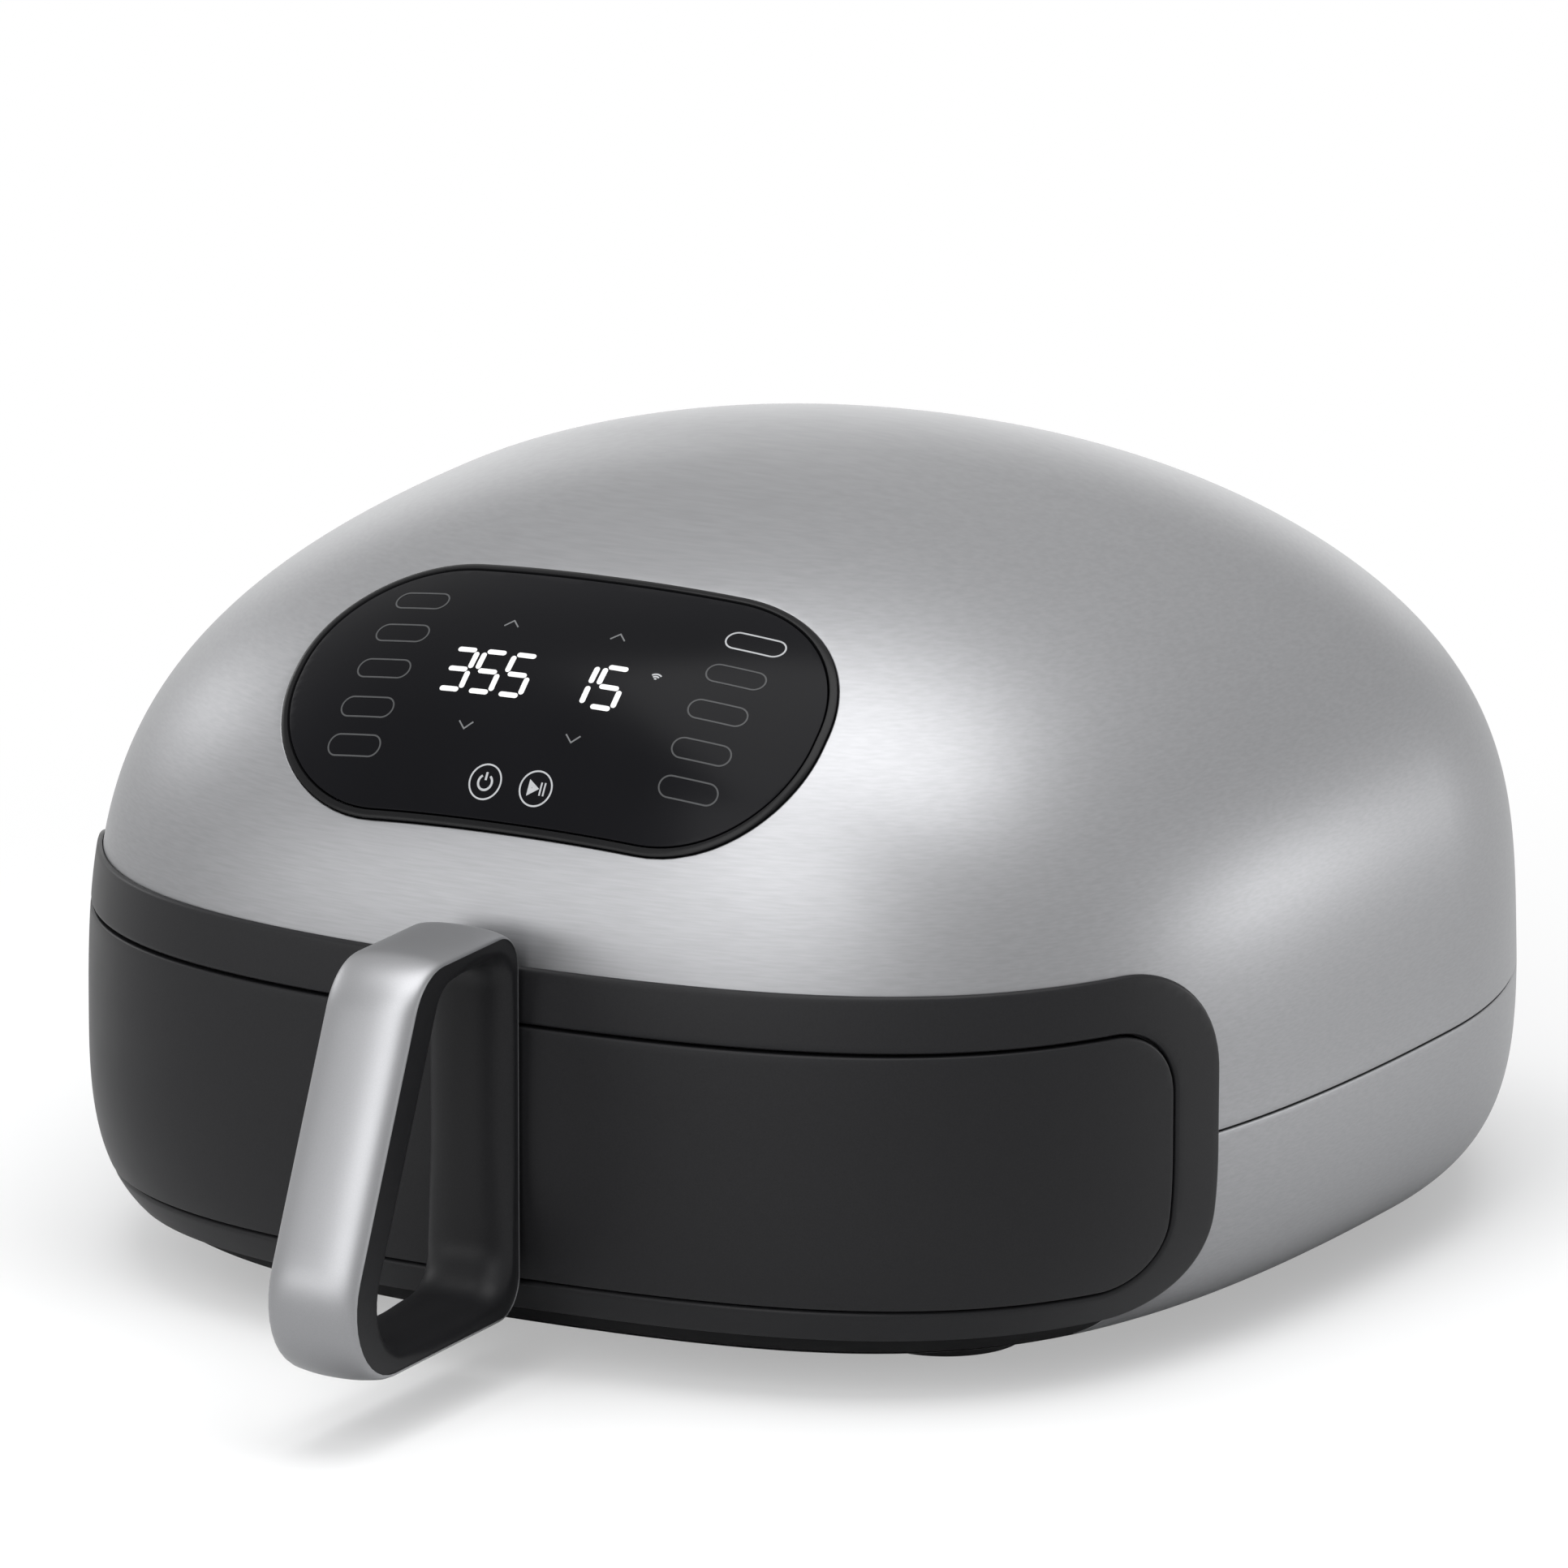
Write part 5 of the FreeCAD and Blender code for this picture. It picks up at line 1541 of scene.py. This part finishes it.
@dataclass
class Drawer:
    """The drawer front with its handle loop, and the crisper plate behind it."""

    shop: Workshop
    proud: float = 1.5
    wall: float = 4.0
    edge: float = 0.8
    front_grid: Grid = Grid((-0.7, 0.7, 221), (-0.7, 0.4, 90))
    handle_width: float = 27.2
    handle_reach: float = 97.5
    handle_top: float = 131.5
    handle_bottom: float = 19.0
    handle_lean: float = 0.466
    handle_standoff: float = 1.2
    band: float = 5.0
    cap: float = 2.8
    trim: float = 1.0
    bar: float = 21.0
    bridge: float = 10.5
    foot: float = 8.8
    back: float = 7.0
    toe_radius: float = 26.0
    brow_radius: float = 22.0
    heel_radius: float = 13.0
    window_radius: float = 9.0
    window_low_radius: float = 14.0
    line_steps: int = 14
    arc_steps: int = 12
    crown_power: float = 2.1
    crown_steps: int = 14
    core_recess: float = 0.3
    core_round: float = 6.0
    core_round_share: float = 0.85
    core_sweep: float = 10.5
    core_steps: int = 12
    plate_level: float = 52.6
    plate_setback: float = 176.0
    plate_columns: int = 9
    plate_pitch: float = 30.0
    hole_radius: float = 5.0
    collar_radius: float = 0.7
    collar_height: float = 0.6
    collar_rise: float = 0.35
    collar_steps: tuple[int, int] = (10, 24)

    def build(self) -> None:
        """Build and dress every piece of the drawer."""
        self.build_front()
        self.build_band()
        self.build_core()
        self.build_collars()

    def dress(self, piece: Piece, finish: Finish, *nodes: str) -> None:
        """Dress a piece that slides with the drawer."""
        self.shop.wardrobe.dress(piece, finish, Body.DRAWER, *nodes)

    def build_front(self) -> None:
        """Build the drawer front, flush with the surround."""
        inside = area(self.edge, inside=[(DRAWER, 0.0)])
        front = Cutter(self.front_grid, self.proud, inside).skin(
            "drawer_skin", self.proud + self.wall, self.edge)
        self.dress(front, TRIM_BLACK, "drawer_front")

    def slope_start(self, inset: float) -> float:
        """Find where the handle's sloping front line meets its bottom level.

        Args:
            inset: Distance by which the line is drawn in.

        Returns:
            The place from front to rear.
        """
        slant = math.hypot(self.handle_lean, 1)
        toe = self.toe_radius / (slant - self.handle_lean)
        vertex = self.handle_reach - self.proud - self.toe_radius + toe
        return FORM.front - self.proud - vertex + inset * slant

    def rear_line(self, inset: float) -> float:
        """Find the handle's rear line, drawn in by an inset."""
        return FORM.front - self.proud - self.handle_standoff - inset

    def face_loop(self, inset: float) -> Array:
        """Sample the handle's side outline.

        Args:
            inset: Distance by which its front is drawn in; its levels follow less and its rear least.

        Returns:
            Points from front to rear and up.
        """
        level = inset * self.cap / self.band
        rear = self.rear_line(inset * self.trim / self.band)
        start = self.slope_start(inset)
        low, high = self.handle_bottom + level, self.handle_top - level
        height = self.handle_top - self.handle_bottom
        return rounded_loop([
            (start + self.handle_lean * level, low, self.toe_radius - inset),
            (rear, low, self.heel_radius - level),
            (rear, high, self.heel_radius - level),
            (start + self.handle_lean * (height - level), high, self.brow_radius - inset),
        ], self.line_steps, self.arc_steps)

    def window_loop(self) -> Array:
        """Sample the outline of the finger opening.

        Returns:
            Points from front to rear and up.
        """
        start, rear = self.slope_start(self.bar), self.rear_line(self.back)
        low, high = self.handle_bottom + self.foot, self.handle_top - self.bridge
        rise = high - self.handle_bottom
        return rounded_loop([
            (start + self.handle_lean * self.foot, low, self.window_low_radius),
            (rear, low, self.window_low_radius),
            (rear, high, self.window_radius),
            (start + self.handle_lean * rise, high, self.window_radius),
        ], self.line_steps, self.arc_steps)

    def build_band(self) -> None:
        """Build the bright band, with a softly crowned section."""
        half = self.handle_width / 2
        turns = np.linspace(0, math.pi / 2, self.crown_steps + 1)
        power = 2 / self.crown_power
        crown = [(self.band * (1 - math.cos(a) ** power), half * math.sin(a) ** power) for a in turns[1:-1]]
        side = crown + [(self.band, half), (self.band, half / 2)]
        section = [(0.0, 0.0)] + side + [(self.band, 0.0)] + [(d, -x) for d, x in reversed(side)]
        rings = [np.insert(self.face_loop(inset), 0, x, axis=1) for inset, x in section]
        self.dress(loft("handle_band", rings, closed=True), BAND_SILVER, "handle_band_cover")

    def build_core(self) -> None:
        """Build the dark core, rounded towards the finger opening."""
        outer, window = self.face_loop(self.band), self.window_loop()
        depth = np.linalg.norm(outer - window, axis=1, keepdims=True)
        radius = np.minimum(self.core_round, self.core_round_share * depth)
        toward = (outer - window) / depth
        half = self.handle_width / 2 - self.core_recess
        rows = [(window, 0.0)]
        for a in np.linspace(0, math.pi / 2, self.core_steps + 1):
            flat = window + toward * radius * (1 - math.cos(a))
            rows.append((flat, half - self.core_sweep * (1 - math.sin(a))))
        rows += [(outer, half), (outer, 0.0)]
        right = [np.insert(flat, 0, x, axis=1) for flat, x in rows]
        left = [ring * (-1, 1, 1) for ring in reversed(right[1:-1])]
        self.dress(loft("handle_core_form", right + left, closed=True), TRIM_BLACK, "handle_core")

    def build_collars(self) -> None:
        """Raise a rolled collar round every hole of the crisper plate."""
        turns, steps = self.collar_steps
        ring = [(self.hole_radius + self.collar_radius * (1 + math.cos(a)),
                 self.collar_rise + self.collar_height * math.sin(a))
                for a in np.linspace(0, 2 * math.pi, turns, endpoint=False)]
        template = loft("collar_template", [turned_ring(radius, z, steps) for radius, z in ring], closed=True)
        offsets = (np.arange(self.plate_columns) - (self.plate_columns - 1) / 2) * self.plate_pitch
        middle = FORM.front + self.plate_setback
        places = [(x, middle + y, self.plate_level) for x in offsets for y in offsets]
        collars = self.shop.copies("plate_collars", template, places, COAT)
        bpy.data.objects.remove(template)
        self.shop.wardrobe.dress(collars, COAT, Body.PLATE)


# Studio


def direction(azimuth: float, elevation: float) -> Vector:
    """Point from the object at a bearing from its front towards its right, and a height, in degrees."""
    turn, rise = math.radians(azimuth), math.radians(elevation)
    return Vector((math.sin(turn) * math.cos(rise), -math.cos(turn) * math.cos(rise), math.sin(rise)))


@dataclass(frozen=True)
class Softbox:
    """A soft lamp that faces the object, in degrees, metres and watts."""

    name: str
    azimuth: float
    elevation: float
    distance: float
    size: Pair
    power: float

    def hang(self, aim: Triple) -> None:
        """Hang the lamp.

        Args:
            aim: The place that it faces.
        """
        lamp = bpy.data.lights.new(self.name, "AREA")
        lamp.shape = "RECTANGLE"
        lamp.size, lamp.size_y = self.size
        lamp.energy = self.power
        toward = direction(self.azimuth, self.elevation)
        holder = bpy.data.objects.new(self.name, lamp)
        holder.location = Vector(aim) + toward * self.distance
        holder.rotation_euler = toward.to_track_quat("Z", "Y").to_euler()
        holder.visible_camera = False
        bpy.context.scene.collection.objects.link(holder)


@dataclass
class Studio:
    """The pale floor, the soft lights, the white surroundings and the camera."""

    azimuth: float = 28.221
    elevation: float = 14.618
    distance: float = 5.0
    aim_across: float = -0.007568
    aim: Triple = (0.0, 0.03675, 0.123811)
    lens: float = 408.6
    sensor: float = 36.0
    view_end: float = 50.0
    soft_colour: Triple = (0.9, 0.92, 0.95)
    soft_strength: float = 0.25
    floor_half: float = 4000.0
    floor_colour: Triple = (0.93, 0.93, 0.93)
    floor_fade: Pair = (0.2, 0.62)
    floor_least: float = 0.4
    lamps: tuple[Softbox, ...] = (
        Softbox("overhead_light", 35.0, 77.0, 1.5, (1.45, 1.3), 23.0),
        Softbox("front_light", 6.0, 32.0, 2.1, (1.0, 1.3), 16.0),
        Softbox("low_light", -20.0, 8.0, 2.1, (2.1, 0.45), 10.0),
        Softbox("left_light", -98.0, 22.0, 2.2, (1.0, 0.6), 6.0),
        Softbox("side_light", 126.0, 1.5, 2.4, (1.0, 0.3), 10.0),
        Softbox("rear_light", 205.0, 6.0, 2.6, (2.0, 0.5), 6.0),
    )

    def build(self) -> None:
        """Set up the whole studio."""
        bpy.context.scene.view_settings.view_transform = "Standard"
        self.build_world()
        self.build_floor()
        for lamp in self.lamps:
            lamp.hang(self.aim)
        self.build_camera()

    def build_world(self) -> None:
        """Light evenly, and show white to the camera, in reflections and through clear pieces."""
        world = bpy.data.worlds.new("studio_world")
        bpy.context.scene.world = world
        world.use_nodes = True
        sheet = NodeSheet(world.node_tree)
        sheet.tree.nodes.clear()
        background = "ShaderNodeBackground"
        soft = sheet.node(background, {"Color": (*self.soft_colour, 1), "Strength": self.soft_strength})
        white = sheet.node(background, {"Color": (1, 1, 1, 1), "Strength": 1.0})
        shown = sheet.any_ray("Is Camera Ray", "Is Glossy Ray", "Is Transmission Ray")
        mixed = sheet.node("ShaderNodeMixShader",
                           {"Fac": shown, 1: soft["Background"], 2: white["Background"]})
        sheet.node("ShaderNodeOutputWorld", {"Surface": mixed["Shader"]})

    def build_floor(self) -> None:
        """Lay a pale floor that fades into the white surroundings and keeps the shadow."""
        half = self.floor_half
        corners = np.array([(-half, -half, 0), (half, -half, 0), (half, half, 0), (-half, half, 0)])
        floor = add_mesh("floor", corners, [(0, 1, 2, 3)])
        sheet = ShaderSheet("pale_floor")
        sheet.set(Base_Color=(*self.floor_colour, 1), Roughness=0.9, Specular_IOR_Level=0.1)
        away = sheet.node("ShaderNodeVectorMath", {0: sheet.place}, operation="LENGTH")["Value"]
        near, far = self.floor_fade
        fade = sheet.node("ShaderNodeMapRange", {"Value": away, "From Min": near, "From Max": far},
                          interpolation_type="SMOOTHSTEP")["Result"]
        camera = sheet.any_ray("Is Camera Ray")
        least = sheet.node("ShaderNodeMath", {0: camera, 1: self.floor_least}, operation="MULTIPLY")["Value"]
        shown = sheet.node("ShaderNodeMapRange", {"Value": fade, "To Min": least})["Result"]
        seen = sheet.any_ray("Is Camera Ray", "Is Glossy Ray", "Is Transmission Ray")
        amount = sheet.node("ShaderNodeMath", {0: shown, 1: seen}, operation="MULTIPLY")["Value"]
        glow = sheet.node("ShaderNodeEmission", {"Strength": 1.0})["Emission"]
        mixed = sheet.node("ShaderNodeMixShader",
                           {"Fac": amount, 1: sheet.shader.outputs["BSDF"], 2: glow})["Shader"]
        sheet.feed(sheet.tree.nodes["Material Output"].inputs["Surface"], mixed)
        floor.data.materials.append(sheet.material)

    def build_camera(self) -> None:
        """Set the camera at the photograph's angle."""
        turn = math.radians(self.azimuth)
        right = Vector((math.cos(turn), math.sin(turn), 0))
        back = direction(self.azimuth, self.elevation)
        camera = bpy.data.cameras.new("camera")
        camera.lens = self.lens
        camera.sensor_width = self.sensor
        camera.clip_end = self.view_end
        holder = bpy.data.objects.new("camera", camera)
        holder.location = Vector(self.aim) + right * self.aim_across + back * self.distance
        holder.rotation_euler = (-back).to_track_quat("-Z", "Y").to_euler()
        bpy.context.scene.collection.objects.link(holder)
        bpy.context.scene.camera = holder


def main() -> None:
    """Build every sub-assembly in order."""
    logging.basicConfig(level=logging.INFO, format="%(message)s")
    wardrobe = Wardrobe()
    wardrobe.dress_nodes()
    shop = Workshop(wardrobe, scatter_tool(), drape_tool(), FormCaster())
    Housing(shop).build()
    TouchPanel(shop).build()
    Drawer(shop).build()
    Studio().build()


if __name__ == "__main__":
    main()
